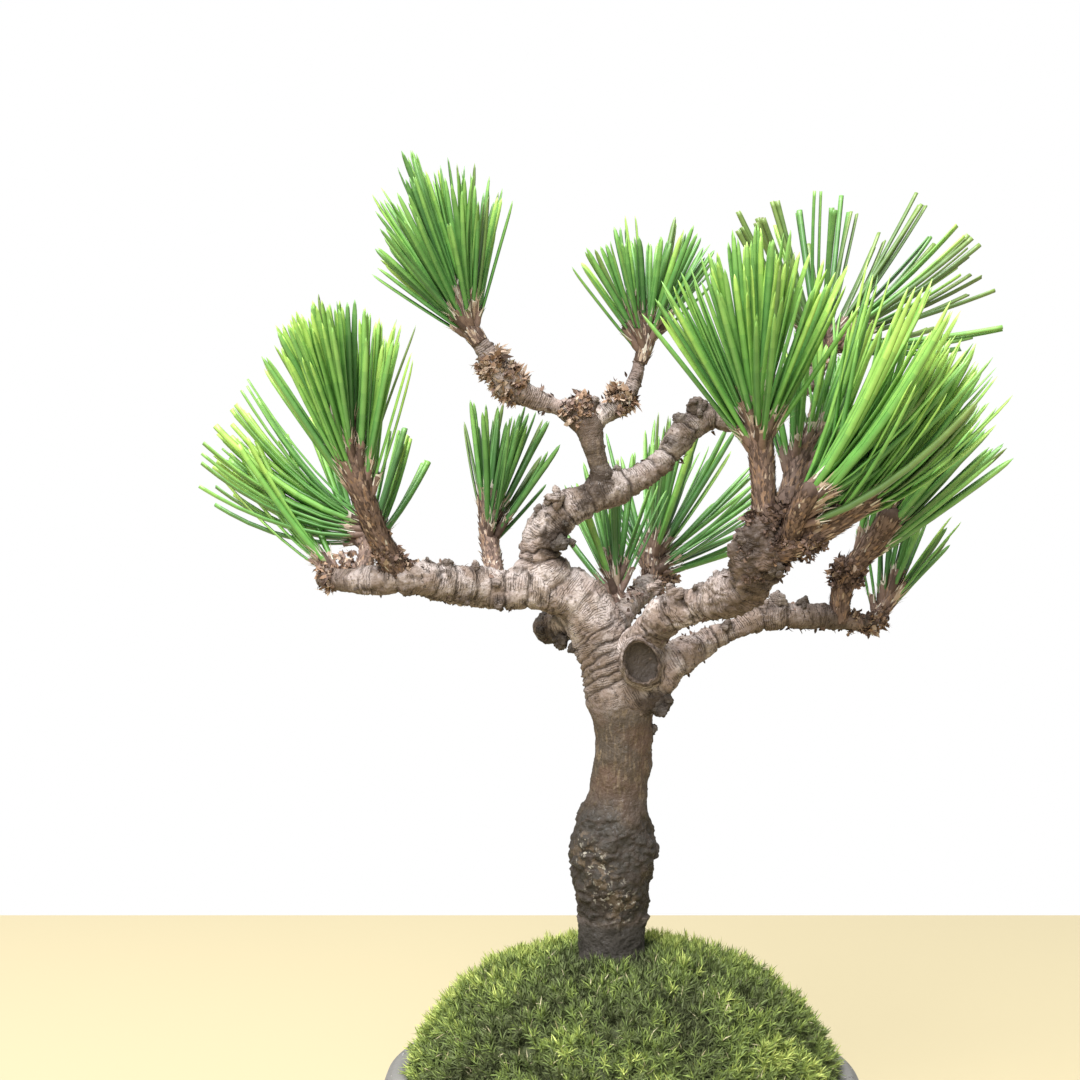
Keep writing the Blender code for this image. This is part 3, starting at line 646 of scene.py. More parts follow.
@dataclass(frozen=True)
class ClayFinish:
    """Matte grey stoneware with darker and lighter specks and a fine sandy grain."""

    name: str = "grey_stoneware"
    base: Colour = (0.161, 0.157, 0.147)
    cloud: Colour = (0.197, 0.191, 0.178)
    speck: Colour = (0.07, 0.07, 0.072)
    spark: Colour = (0.46, 0.45, 0.43)

    def build(self) -> Material:
        """Makes the material."""
        made, shader, surface = new_material(self.name, 0.62, 0.4)
        cloud = shader.mask(MOTTLE, Scale=60.0, Low=0.35, High=0.65)
        colour = shader.mix(cloud, self.base, self.cloud)
        dark = shader.mask(SPECKS, Scale=700.0, Size=0.2, Patch=0.42)
        colour = shader.mix(dark, colour, self.speck)
        light = shader.mask(SPECKS, Scale=980.0, Size=0.16, Patch=0.5)
        colour = shader.mix(light, colour, self.spark)
        shader.link(colour, surface, "Base Color")
        sand = shader.mask(MOTTLE, Scale=2400.0, Detail=3.0, Low=0.2, High=0.8)
        shader.link(shader.spread(sand, -2.2, 1.6), surface, "Roughness")
        bump = shader.add("ShaderNodeBump", {"Height": sand, "Strength": 0.35, "Distance": 0.08 * MM})
        shader.link(bump.outputs["Normal"], surface, "Normal")
        return made


@dataclass(frozen=True)
class SoilFinish:
    """Dark potting grit with paler grains."""

    name: str = "soil"
    base: Colour = (0.035, 0.025, 0.018)
    grain: Colour = (0.16, 0.12, 0.085)

    def build(self) -> Material:
        """Makes the material."""
        made, shader, surface = new_material(self.name, 0.95, 0.2)
        grains = shader.add("ShaderNodeTexVoronoi", {"Vector": shader.where(), "Scale": 420.0})
        pale = shader.mask(MOTTLE, Scale=500.0, Low=0.45, High=0.6)
        colour = shader.mix(pale, self.base, self.grain)
        shader.link(colour, surface, "Base Color")
        bump = shader.add("ShaderNodeBump", {"Height": grains.outputs["Distance"], "Strength": 0.9,
                                             "Distance": 0.6 * MM})
        shader.link(bump.outputs["Normal"], surface, "Normal")
        return made


# Each tone's low and tip colours. From low to tip the blade grows lighter: partly its own yellower tip,
# partly painted shade low down and painted light at the tip.
BLADE_TONES = (
    ("deep", (0.05, 0.142, 0.036), (0.118, 0.262, 0.062)),
    ("mid", (0.076, 0.212, 0.048), (0.186, 0.372, 0.082)),
    ("fresh", (0.104, 0.272, 0.052), (0.31, 0.5, 0.1)),
    ("old", (0.076, 0.146, 0.04), (0.152, 0.232, 0.058)),
)
BLADE_LEVELS = 5


class Leaf(IntEnum):
    """Slots of the needles' pieces: before these come the levels of the four blade tones, from low to tip."""

    ROOT = len(BLADE_TONES) * BLADE_LEVELS
    CUT = ROOT + 1


def needle_finishes() -> list[LeafFinish]:
    """The needles' finishes. Each level is low * (tip / low)^t, so a blade brightens evenly to its tip.

    The rise is partly the needles' own yellower tips, and partly painted shade at the foot and painted light
    at the tip.
    """
    colours = {}
    for name, low, tip in BLADE_TONES:
        for level in range(BLADE_LEVELS):
            share = level / (BLADE_LEVELS - 1)
            colours[f"{name}_{level}"] = tuple(a * (b / a) ** share for a, b in zip(low, tip))
    colours["root"], colours["cut"] = (0.25, 0.31, 0.14), (0.2, 0.19, 0.085)
    return [LeafFinish(f"needle_{name}", colour, tuple(1.22 * c for c in colour), 0.4, 0.5)
            for name, colour in colours.items()]


class Scale(IntEnum):
    """Slots of the piece of scales, sheaths and frills."""

    DARK = 0
    BROWN = 1
    RUST = 2
    TAN = 3
    PALE = 4


SCALE_FINISHES = (
    LeafFinish("scale_dark", (0.08, 0.053, 0.042), (0.118, 0.08, 0.064), 0.8, 0.2, 900.0),
    LeafFinish("scale_brown", (0.165, 0.108, 0.085), (0.225, 0.155, 0.125), 0.75, 0.25, 900.0),
    LeafFinish("scale_rust", (0.25, 0.155, 0.1), (0.31, 0.205, 0.14), 0.75, 0.25, 900.0),
    LeafFinish("scale_tan", (0.37, 0.275, 0.205), (0.46, 0.36, 0.28), 0.75, 0.25, 900.0),
    LeafFinish("scale_pale", (0.56, 0.51, 0.44), (0.66, 0.62, 0.55), 0.7, 0.3, 900.0),
)


class Moss(IntEnum):
    """Slots of the moss's pieces."""

    SHADE = 0
    OLIVE = 1
    GREEN = 2
    LIME = 3
    SUN = 4
    STRAW = 5


MOSS_FINISHES = (
    LeafFinish("moss_shade", (0.048, 0.058, 0.025), (0.066, 0.078, 0.032), 0.7, 0.2, 600.0),
    LeafFinish("moss_olive", (0.084, 0.106, 0.038), (0.106, 0.132, 0.047), 0.65, 0.25, 600.0),
    LeafFinish("moss_green", (0.12, 0.164, 0.046), (0.148, 0.198, 0.056), 0.65, 0.25, 600.0),
    LeafFinish("moss_lime", (0.205, 0.27, 0.064), (0.258, 0.33, 0.08), 0.65, 0.25, 600.0),
    LeafFinish("moss_sun", (0.39, 0.45, 0.12), (0.47, 0.53, 0.15), 0.65, 0.25, 600.0),
    LeafFinish("moss_straw", (0.42, 0.36, 0.2), (0.5, 0.45, 0.29), 0.65, 0.3, 600.0),
)


# Plan of the tree


@dataclass(frozen=True)
class Limb:
    """One limb, by its route of (x, y, z, radius) in millimetres from the foot."""

    name: str
    route: Route
    blunt: bool = False

    def line(self, step: float) -> tuple[Array, Array]:
        """Its middle line in the part's frame, and its radii."""
        rows = smooth_line(self.route, step)
        return rows[:, :3] + FOOT, rows[:, 3]


@dataclass(frozen=True)
class Shoot:
    """A shoot that ends in a brush of needles. `aim` is where the middle needles reach."""

    route: Route
    aim: Point
    count: int
    spread: float
    lift: float = 0.0
    trimmed: bool = False
    zone: float = 8.0

    def axis(self) -> tuple[Array, Array]:
        """Start and end of the middle line of its brush, in the part's frame."""
        return np.array(self.route[-1][:3], float) + FOOT, np.array(self.aim, float) + FOOT


class Hue(Enum):
    """How green a mass of needles is, as shares of the four blade colours."""

    DEEP = (0.55, 0.35, 0.04, 0.06)
    PLAIN = (0.24, 0.56, 0.15, 0.05)
    FRESH = (0.1, 0.38, 0.48, 0.04)
    OLIVE = (0.22, 0.14, 0.04, 0.6)
    BRIGHT = (0.04, 0.24, 0.68, 0.04)


@dataclass(frozen=True)
class Mass:
    """One mass of needles on its own stem. The first shoot is the stem, and the others fork from it."""

    name: str
    shoots: tuple[Shoot, ...]
    seed: int
    hue: Hue = Hue.PLAIN
    density: float = 1.15
    bend: float = 0.03
    shortest: float = 0.76
    open_front: float = 0.2
    dust: float = 0.0
    taper: float = 0.0


LIMBS = (
    Limb(
        "trunk",
        ((0, 0, 0, 6), (-0.1, 0, 11.1, 6.1), (-0.1, 0, 20.7, 7.6), (0.1, 0, 25.5, 7.6), (0.9, 0, 32.5, 5.9),
         (1.6, 0, 40.5, 5.3), (1.4, 0, 46.9, 5.2), (0, 0, 54, 5.3), (-1.9, 0, 61.3, 5), (-4.8, 0, 67.5, 4.7),
         (-9.1, 0, 71.1, 4.6), (-12.4, 0, 74.3, 4.5), (-13, 0, 78.1, 3.9), (-11.8, 0, 81.7, 3.8),
         (-8.8, 0, 84.6, 3.5), (-4.1, 0, 87.1, 3.1), (0.2, 0, 89.1, 2.5)),
    ),
    Limb(
        "bough_left",
        ((-12.2, 0, 70.7, 3.9), (-17.6, -1, 70.9, 3.9), (-22.8, -2, 71.3, 3.7), (-29.2, -5, 72.1, 3.6),
         (-35.5, -8, 73.2, 2.9), (-42.1, -7, 72.8, 2.6), (-46.8, -4, 72.8, 2.1), (-51.7, -1, 73.1, 1.8)),
        blunt=True,
    ),
    Limb(
        "bough_right_low",
        ((0.9, 0, 50.5, 4.6), (6.1, -1, 53.9, 4.4), (9.3, -1, 56.9, 4), (13, 0, 59, 3.4),
         (17.7, 2, 61.5, 2.3),
         (22.4, 3, 63.5, 2.1), (27, 3.5, 65.5, 2.5), (36.3, 5, 65.6, 2.4), (43.5, 7, 64.6, 1.8),
         (48.5, 8, 64.5, 1.5)),
    ),
    Limb(
        "bough_right_front",
        ((3, -1, 56.4, 3.8), (5.5, -5, 62, 3.6), (9.1, -10, 66.7, 3.4), (14.3, -14, 68.4, 2.8),
         (17.9, -20, 70.1, 3.2), (21.1, -25, 72.5, 3.4), (22.2, -29, 77.6, 4.5), (22.6, -31, 80.8, 3.3),
         (22.9, -32, 83.2, 2.4)),
    ),
    Limb(
        "bough_back",
        ((-0.1, 2, 63.4, 2.6), (3.2, 9, 67.1, 2.4), (6.1, 17, 69.4, 2.2), (8.7, 24, 71.1, 2),
         (12.2, 28, 72.2, 1.8)),
        blunt=True,
    ),
    Limb(
        "bough_apex",
        ((-1.2, 0, 88.7, 2.2), (3.9, 1, 90.4, 2.2), (9.2, 2, 94, 2.3), (13.1, 3, 99, 2.9),
         (17.2, 4, 101.6, 2.5),
         (22.6, 5, 102, 2.1), (29.2, 6, 104.5, 1.9), (35.9, 8, 108.4, 1.9), (39.2, 9, 112.7, 1.9)),
    ),
    Limb(
        "bough_upright",
        ((-1.9, 0, 89.1, 2.1), (-2.7, -1, 93, 2), (-4.1, -1, 98.4, 2), (-5.5, 0, 102.7, 2.9)),
        blunt=True,
    ),
    Limb(
        "twig_top_left",
        ((-5.5, 0, 102.7, 2), (-9.1, 1, 103.4, 1.8), (-12, 1, 104.4, 1.9), (-16.7, 0, 106.7, 2.5),
         (-20.3, -1, 109.5, 2.7), (-24, -2, 115.3, 1.8)),
    ),
    Limb(
        "twig_top_right",
        ((-5.5, 0, 102.7, 1.6), (-3, 0, 101.7, 1.5), (-0.1, 1, 103.5, 2.2), (2.4, 1, 105.7, 2),
         (4.2, 1, 109.3, 1.5), (5.1, 1, 112.2, 1.4)),
    ),
    Limb("stub_back", ((-4.9, 3, 65.5, 3.2), (-11.4, 9, 63.4, 2.9)), blunt=True),
)

MASSES = (
    Mass("needles_top_left", (
        Shoot(((-23.8, -2, 114.9, 1.8), (-25.6, -2, 117.6, 1.8), (-27.2, -2, 122.1, 2.2)),
              aim=(-35.2, -4, 150.4), count=58, spread=41, zone=10),
    ), seed=1, shortest=0.82, open_front=0.25, dust=0.8, taper=0.3),
    Mass("needles_top_centre", (
        Shoot(((5, 1, 111.7, 1.4), (5.9, 1, 115.3, 1.5), (4.2, 1, 119.8, 1.7)),
              aim=(1.6, -2, 139), count=16, spread=34),
        Shoot(((5.9, 1, 115.3, 1.5), (8.7, 3, 119.3, 1.7)),
              aim=(15.4, 8, 137.8), count=14, spread=26),
    ), seed=2, density=1.05, dust=0.7),
    Mass("needles_apex", (
        Shoot(((39.2, 9, 112.2, 1.9), (39.2, 9, 115, 1.9), (36.3, 9, 118.7, 2.1)),
              aim=(26.6, 6, 141.6), count=23, spread=46, trimmed=True),
        Shoot(((39.2, 9, 115, 1.9), (45, 12, 119.1, 2.1)),
              aim=(68.8, 17, 135.2), count=28, spread=46, trimmed=True),
    ), seed=3, hue=Hue.OLIVE, density=0.75, bend=0.12),
    Mass("needles_left_front", (
        Shoot(((-37.6, -8, 73.7, 2.3), (-41.0, -12, 80.2, 2.1), (-43.2, -16, 87.2, 2.2),
               (-45.4, -18, 94.0, 2.4),
               (-46.9, -19, 99.4, 2.4)),
              aim=(-50.4, -22, 120.6), count=64, spread=27, zone=14.5),
    ), seed=4, hue=Hue.BRIGHT, density=1.3, shortest=0.88, open_front=0.45, taper=-0.06),
    Mass("needles_left_back", (
        Shoot(((-44.8, -3, 73.4, 1.6), (-44.6, 3, 77.2, 1.6), (-44.2, 6, 81.0, 1.6), (-45.6, 7, 83.8, 1.7)),
              aim=(-72.4, 11, 96.0), count=22, spread=23, lift=0.18, trimmed=True, zone=4.0),
        Shoot(((-44.6, 3, 77.2, 1.5), (-43.8, 8, 81.0, 1.6)),
              aim=(-37.6, 17, 97.5), count=7, spread=15, lift=0.08, trimmed=True),
        Shoot(((-47.0, -1, 73.2, 1.2), (-50.2, 3, 73.8, 1.2), (-52.0, 5, 75.4, 1.2)),
              aim=(-67.4, 12, 95.6), count=8, spread=17, lift=0.06, trimmed=True, zone=2.4),
        Shoot(((-45.0, 5, 78.6, 1.4), (-47.6, 9, 81.4, 1.5)),
              aim=(-57.0, 18, 103.4), count=9, spread=16, trimmed=True),
    ), seed=5, hue=Hue.FRESH, density=1.0, bend=0.2),
    Mass("needles_centre_back", (
        Shoot(((-21.3, -2, 71.8, 1.9), (-21.7, 6, 75.1, 1.8), (-22.7, 13, 80.6, 1.9),
               (-22.8, 15.5, 86.3, 2.2)),
              aim=(-20.2, 19, 106.9), count=35, spread=42),
    ), seed=6, hue=Hue.DEEP, density=1.3, dust=0.2),
    Mass("needles_back_small", (
        Shoot(((2.4, 8, 66.6, 1.2), (1.2, 11, 69.6, 1.2), (1, 16, 74.3, 1.6)),
              aim=(-0.6, 24, 96.9), count=19, spread=44),
    ), seed=7, dust=0.3),
    Mass("needles_back_large", (
        Shoot(((8.3, 23, 70.9, 1.9), (8.6, 25.5, 74.2, 1.9), (9.3, 28.5, 78.2, 2.2)),
              aim=(14.6, 38, 106.2), count=42, spread=64),
    ), seed=8, density=1.2, bend=0.06, dust=0.3),
    Mass("needles_front_right", (
        Shoot(((22.9, -32, 82.9, 2.3), (22.6, -33, 87.7, 2.1), (21.9, -34, 95, 2.3), (20.9, -35, 103.6, 2.5)),
              aim=(20.2, -40, 128.4), count=56, spread=38, zone=10.5),
    ), seed=9, hue=Hue.FRESH, density=1.35, bend=0.06, shortest=0.86, open_front=0.35),
    Mass("needles_mid_right", (
        Shoot(((23, -28.5, 79.2, 1.9), (27.5, -24, 86.3, 1.9), (30.5, -20, 92.8, 1.9), (32.7, -19, 96.5, 2)),
              aim=(38.6, -18, 117.2), count=19, spread=34),
        Shoot(((27.5, -24, 86.3, 1.9), (34.9, -16, 91.9, 1.8), (38.9, -11, 98.7, 2)),
              aim=(47.5, -6, 119.9), count=21, spread=36),
    ), seed=10, hue=Hue.FRESH, density=1.2, open_front=0.5),
    Mass("needles_sweep_right", (
        Shoot(((22.2, -29, 77.2, 2.6), (26.9, -32, 78.9, 2.7), (32.1, -33.5, 82.1, 2.8),
               (39, -33.5, 86.8, 2.7)),
              aim=(54, -38, 109.4), count=40, spread=26, lift=0.08),
        Shoot(((26.9, -32, 78.9, 2), (27.2, -37, 83.3, 1.9), (28.6, -40.5, 87.1, 1.9)),
              aim=(50.5, -46, 112), count=18, spread=24, lift=0.15),
    ), seed=11, hue=Hue.BRIGHT, density=1.25, bend=0.22, shortest=0.84),
    Mass("needles_low_right", (
        Shoot(((41.6, 6, 64.6, 1.9), (42.2, 5, 70.5, 2.1), (43.3, 3, 74.2, 2.2), (46.3, 0, 78.4, 2.1),
               (49.2, -3, 83.6, 2.4)),
              aim=(63.4, -5, 107.6), count=37, spread=21, zone=10),
    ), seed=12, density=1.3, bend=0.06),
    Mass("needles_tail_right", (
        Shoot(((48, 7.9, 64.5, 1.5), (50.9, 9.6, 67.1, 1.4), (52.9, 11, 70.9, 1.5)),
              aim=(59.8, 15, 89), count=12, spread=28),
    ), seed=13, dust=0.5),
)


# Wood


@dataclass(frozen=True)
class Knob:
    """A lump of old bark: its centre in millimetres from the foot, its radius, and how dark it is."""

    centre: Point
    radius: float
    dark: float


KNOBS = tuple(Knob((x, y, z), radius, dark) for x, y, z, radius, dark in (
    (-10.5, -3.4, 87.2, 1.8, 0.15), (-13.4, -2.2, 84.9, 1.1, 0.75), (-9.5, -4.4, 79.0, 1.9, 1.0),
    (-7.6, -1.6, 79.4, 1.0, 0.85), (-8.6, -3.6, 82.4, 0.8, 1.0), (-6.2, -0.6, 74.0, 0.8, 0.75),
    (-16.4, -2.5, 74.0, 1.0, 0.75), (10.0, -12.6, 70.0, 2.0, 0.45), (7.0, -8.5, 71.4, 1.4, 0.3),
    (14.2, -15.5, 71.4, 1.2, 0.75), (17.6, -19.5, 73.4, 1.5, 0.4), (19.6, -22.5, 75.0, 1.3, 0.75),
    (15.3, 2.0, 104.0, 2.1, 0.75), (12.3, 1.6, 101.4, 1.5, 0.75), (10.4, 0.8, 97.4, 1.1, 0.75),
    (0.8, -1.0, 92.4, 0.9, 0.75), (8.2, -3.6, 50.2, 2.3, 1.0), (6.6, -1.2, 45.6, 1.3, 1.0),
    (7.9, -2.2, 53.4, 1.3, 0.6), (-32.6, -7.6, 75.6, 1.0, 0.75), (-29.3, -6.4, 75.3, 1.1, 0.75),
    (-24.6, -4.2, 74.8, 1.3, 0.5), (-26.5, -6.5, 69.2, 1.0, 0.75), (-20.4, -4.5, 68.2, 1.2, 0.75),
    (-36.0, -8.8, 70.8, 0.8, 0.75), (-20.9, -5.2, 72.0, 0.9, 0.5), (30.5, 3.2, 68.6, 1.9, 0.5),
    (27.6, 2.6, 67.4, 1.2, 0.5), (35.0, 4.0, 67.9, 1.5, 0.9), (38.4, 4.8, 67.0, 1.1, 0.7),
    (20.6, 1.2, 64.2, 1.2, 0.75), (20.2, -32.0, 79.6, 1.6, 0.75), (24.6, -31.6, 75.0, 1.6, 0.75),
    (18.9, -28.4, 76.2, 1.4, 0.75), (-9.2, 3.0, 61.4, 1.5, 1.0), (-12.0, 7.0, 63.0, 1.6, 1.0),
    (-7.2, 1.2, 60.2, 1.0, 1.0), (-5.6, 0.4, 105.2, 1.2, 0.4), (-7.4, -0.6, 102.0, 1.3, 0.4),
    (-3.6, -1.0, 104.4, 1.1, 0.4), (-1.4, -2.6, 91.2, 0.8, 0.75), (-3.4, -2.0, 95.8, 0.9, 0.75),
))


@dataclass
class Knobs:
    """The dark lumps of old bark: each a cluster of rough, flattened lumps half sunk in the wood."""

    rings: int = 18
    sides: int = 26
    lumps: int = 5

    def build(self, finish: Material) -> None:
        """Makes one piece of all the clusters."""
        parts = MeshParts()
        for seed, knob in enumerate(KNOBS):
            self.add_cluster(parts, knob, seed)
        places = np.concatenate(parts.vertices)
        count = len(places)
        deep = np.repeat([knob.dark**2 for knob in KNOBS], count // len(KNOBS))
        shade = patchy(places, 0.8, 91, 2, -0.5, 0.4) * (0.4 + 0.6 * deep)
        crust = patchy(places, 2.0, 92, 2, 0.1, 0.4)
        obj = parts.build("bark_knobs", [finish], groove=0.75 * shade * (1 - crust), brown=np.zeros(count),
                          dark=0.15 * shade + 0.85 * deep * (1.0 - 0.18 * crust), young=np.zeros(count),
                          fleck=np.full(count, 0.1), under=0.15 + 0.65 * deep, along=places[:, 2] * 1.4)
        place(obj, "bark")

    def add_cluster(self, parts: MeshParts, knob: Knob, seed: int) -> None:
        """Adds one cluster: lumps of radius * (1 + ridges + flakes) that are squashed along a random line."""
        chance = np.random.default_rng(300 + seed)
        turn = ring_angles(self.sides)[None, :]
        climb = np.linspace(0.02, math.pi - 0.02, self.rings)[:, None]
        ball = np.stack(
            [np.sin(climb) * np.cos(turn), np.sin(climb) * np.sin(turn), -np.cos(climb) + 0 * turn], axis=-1
        )
        middle = np.array(knob.centre) + FOOT
        for index in range(self.lumps):
            size = knob.radius * (0.85 if index == 0 else chance.uniform(0.38, 0.62))
            centre = middle + (0.0 if index == 0 else 0.72) * knob.radius * unit(chance.normal(size=3))
            places = ball * size + centre
            border, level = plates(places, 1.5 / knob.radius, 400 + 10 * seed + index)
            flaky = 0.45 * (level - 0.5) * smooth_step(border, 0.0, 0.2) + 0.07 * np.cos(11.0 * climb)
            ridges = 0.5 - np.abs(noise(places, 1.5 / knob.radius, 500 + 10 * seed + index, 2))
            height = 0.92 + 0.32 * ridges + flaky
            squash = unit(chance.normal(size=3))
            shape = ball - 0.38 * (ball @ squash)[..., None] * squash
            parts.add(centre + shape * size * height[..., None], tube_faces(self.rings, self.sides))


@dataclass
class Wood:
    """The trunk, boughs and twigs, as fine grids round their middle lines with the bark's relief."""

    spacing: float = 0.22
    fillet: float = 3.2
    ring_gap: float = 2.3
    slant: float = 0.32
    creases: dict[str, tuple[tuple[float, float], ...]] = field(default_factory=lambda: {
        "trunk": ((47.2, 0.18), (54.4, 0.26), (56.4, 0.34), (58.0, 0.26), (59.6, 0.32), (61.2, 0.3),
                  (64.0, 0.24), (75.2, 0.34), (81.0, 0.42), (82.4, 0.46), (84.4, 0.42), (91.6, 0.36),
                  (96.4, 0.3)),
        "bough_left": ((3.4, 0.3), (7.2, 0.4), (13.5, 0.36), (17.4, 0.24), (21.0, 0.36), (27.0, 0.4)),
        "bough_right_low": ((13.0, 0.34), (17.2, 0.34), (21.4, 0.44), (24.0, 0.36), (31.5, 0.36),
                            (36.0, 0.3)),
        "bough_right_front": ((11.5, 0.4), (16.0, 0.46), (20.5, 0.42), (24.5, 0.36)),
        "bough_apex": ((4.0, 0.36), (9.5, 0.34), (13.0, 0.38), (19.5, 0.34), (25.0, 0.38), (31.0, 0.3)),
    })
    # Round spots (x, y, z, radius) from the foot: partly painted shadow, in the fork, at the elbow and under
    # the scar, and partly brown stains.
    shadows_and_stains: Route = (
        (-4.2, -2.0, 88.6, 5.0), (-10.6, -2.8, 79.0, 4.6), (-9.4, -3.4, 82.6, 3.4), (2.5, -4.6, 51.0, 4.4),
        (6.5, -2.0, 94.5, 2.4), (13.0, 1.0, 98.0, 3.0), (21.5, -27.0, 76.5, 7.0),
    )
    # Nearly black spots (x, y, z, radius) from the foot: dark old bark at knobs, and painted shadow in the
    # fork.
    dark_and_shadow_spots: Route = (
        (-9.8, -3.2, 79.2, 4.0), (-3.6, -2.4, 89.8, 4.6), (6.6, -4.8, 50.4, 3.8), (-5.6, -3.8, 85.8, 2.0),
    )
    browned: dict[str, float] = field(default_factory=lambda: {"bough_upright": 0.62, "bough_apex": 0.22})
    flecks_from: Point = (-5.6, -5.0, 24.8)
    flecks_to: Point = (1.6, -6.8, 14.0)

    def build(self, finish: Material) -> None:
        """Makes one piece for each limb."""
        for seed, limb in enumerate(LIMBS, start=1):
            self.build_limb(limb, seed, finish)

    def build_limb(self, limb: Limb, seed: int, finish: Material) -> None:
        """Makes a limb's piece: a ring of points round each station, moved out by the relief."""
        line, radii = limb.line(self.spacing)
        line, radii = self.rounded_end(line, radii, 0.9 if limb.blunt else 0.5)
        sides = max(40, 8 * round(2 * math.pi * np.percentile(radii, 70) / self.spacing / 8))
        _, side, up = frames_along(line)
        out = around(ring_angles(sides)[None], side[:, None], up[:, None])
        surface = line[:, None] + out * radii[:, None, None]
        along = np.broadcast_to(distances_along(line)[:, None], surface.shape[:2])
        relief, masks = self.relief(limb, line, surface, out, along, seed)
        fade = np.minimum(1.0, radii / 1.2)[:, None]
        surface = surface + out * (relief * fade + self.blend(limb, surface))[..., None]
        levels = {label: np.clip(values, 0, 1).ravel() for label, values in masks.items()}
        levels["along"] = along.ravel() + 37.0 * seed
        place(tube_piece(f"wood_{limb.name}", surface, [finish], **levels), "bark", limb.name)

    def rounded_end(self, line: Array, radii: Array, share: float) -> tuple[Array, Array]:
        """Carries a line on past its end while its radius falls as a quarter ellipse, to close it round."""
        reach = radii[-1] * share
        steps = max(4, round(1.6 * reach / self.spacing))
        turn = np.linspace(0, math.pi / 2, steps + 1)[1:]
        heading = unit(line[-1] - line[-3])
        more = line[-1] + heading * reach * np.sin(turn)[:, None]
        return np.vstack([line, more]), np.append(radii, np.maximum(radii[-1] * np.cos(turn), 0.02))

    def relief(
        self, limb: Limb, line: Array, surface: Array, out: Array, along: Array, seed: int
    ) -> tuple[Array, dict[str, Array]]:
        """The bark's height over its plain tube, and the masks that its material reads.

        The height is the sum of soft lumps, swellings between creases, scabs in patches, knobs, and on the
        lower trunk streaks and flaky plates.

        Args:
            limb: the limb.
            line: its middle line.
            surface: the tube's grid of points.
            out: the direction out of the tube at each.
            along: each point's distance from the limb's start.
            seed: picks the limb's pattern.

        Returns:
            The height in millimetres, and the masks by name.
        """
        trunk = limb.name == "trunk"
        wander = along + 2.2 * noise(surface, 0.16, seed + 33, 2)
        lower = smooth_step(wander, 56.0, 46.5) if trunk else np.zeros_like(along)
        bulge = smooth_step(along, 9.5, 13.0) * smooth_step(wander, 33.5, 29.0) if trunk else lower
        foot = smooth_step(along, 14.0, 10.5) if trunk else lower
        blotched = wander + 3.0 * noise(surface, 0.3, seed + 34, 2)
        tinted = smooth_step(along, 9.5, 13.0) * smooth_step(blotched, 38.0, 28.0) if trunk else lower
        ringed = 1.0 - lower

        height = 0.55 * noise(surface, 0.19, seed) + 0.36 * noise(surface, 0.44, seed + 40, 2) - 0.12
        height = height + 0.1 * noise(surface, 1.9, seed + 22, 2)
        wave = along + 0.85 * noise(surface, 0.22, seed + 3) + 0.3 * noise(surface, 0.75, seed + 4)
        if trunk:
            rising = smooth_step(along, 47.0, 51.0) * smooth_step(along, 70.0, 64.0)
            wave = wave - self.slant * (surface[..., 0] - line[:, None, 0]) * rising
        ring_height, creases = self.rings(limb, wave, surface, seed)
        folds = self.along_noise(wave, out, 1.2, 0.8, seed + 9)
        height = height + ringed * (ring_height + 0.06 * (0.4 - np.abs(folds)))
        warts = noise(surface, 1.3, seed + 21)
        wart = smooth_step(warts, 0.5, 0.85)
        height = height + 0.3 * wart * (1.0 - 0.6 * lower)

        streak = noise(surface, (1.5, 1.5, 0.42), seed + 30, 3)
        height = height + lower * (0.17 * streak)
        border, level = plates(surface, (0.34, 0.34, 0.46), seed + 50)
        flake = smooth_step(border, 0.02, 0.22)
        chip_border, chip = plates(surface, (0.8, 0.8, 1.0), seed + 60)
        chips = smooth_step(chip_border, 0.0, 0.25)
        rough = bulge * (0.95 * (level - 0.45) * flake + 0.48 * (chip - 0.4) * chips + 0.22 * streak)
        height = height + rough + foot * (0.12 * (chip - 0.5) * chips + 0.14 * (level - 0.5) * flake)
        if trunk:
            lobes = noise(out * 3.0, 0.9, seed + 70)
            height = height + smooth_step(along, 6.0, 0.0) * (0.9 + 1.4 * np.maximum(0.0, lobes + 0.2))

        if limb.name == "bough_right_front":
            knotty = smooth_step(along, 24.0, 30.0)
            height = height + knotty * (1.1 * (level - 0.4) * flake + 0.8 * (chip - 0.4) * chips)
        top = np.zeros_like(height)
        for knob in KNOBS:
            away = np.linalg.norm(surface - (np.array(knob.centre) + FOOT), axis=-1) / knob.radius
            top = np.maximum(top, np.exp(-((away / 1.5) ** 2)))
        height = height + 0.5 * top

        below = smooth_step(-out[..., 2], 0.1, 0.8)
        under = below * patchy(surface, 0.4, seed + 90, 2, -0.5, 0.2)
        patches = patchy(surface, 0.3, seed + 91, 2, 0.12, 0.42)
        scab = 0.5 - np.abs(noise(surface, 0.9, seed + 92, 3))
        scabbed = np.maximum(np.maximum(under, 0.85 * patches), 0.8 * smooth_step(top, 0.3, 0.8)) * ringed
        height = height + scabbed * 0.85 * (scab - 0.3)
        groove = creases * ringed + 0.7 * scabbed * smooth_step(scab, 0.3, 0.05)
        # Nearly black in these spots: dark bark, and painted shadow in the fork.
        dark_and_shadow = self.near(surface, self.dark_and_shadow_spots) * (0.6 + 0.4 * smooth_step(scab, 0.48, 0.3))
        groove = np.maximum(groove, dark_and_shadow) + bulge * 0.6 * (1.0 - flake)
        # The last term is painted shade: the bark darkens round each knob, where it meets the wood.
        groove = groove + 0.6 * wart * ringed + 0.6 * smooth_step(top, 0.25, 0.7)
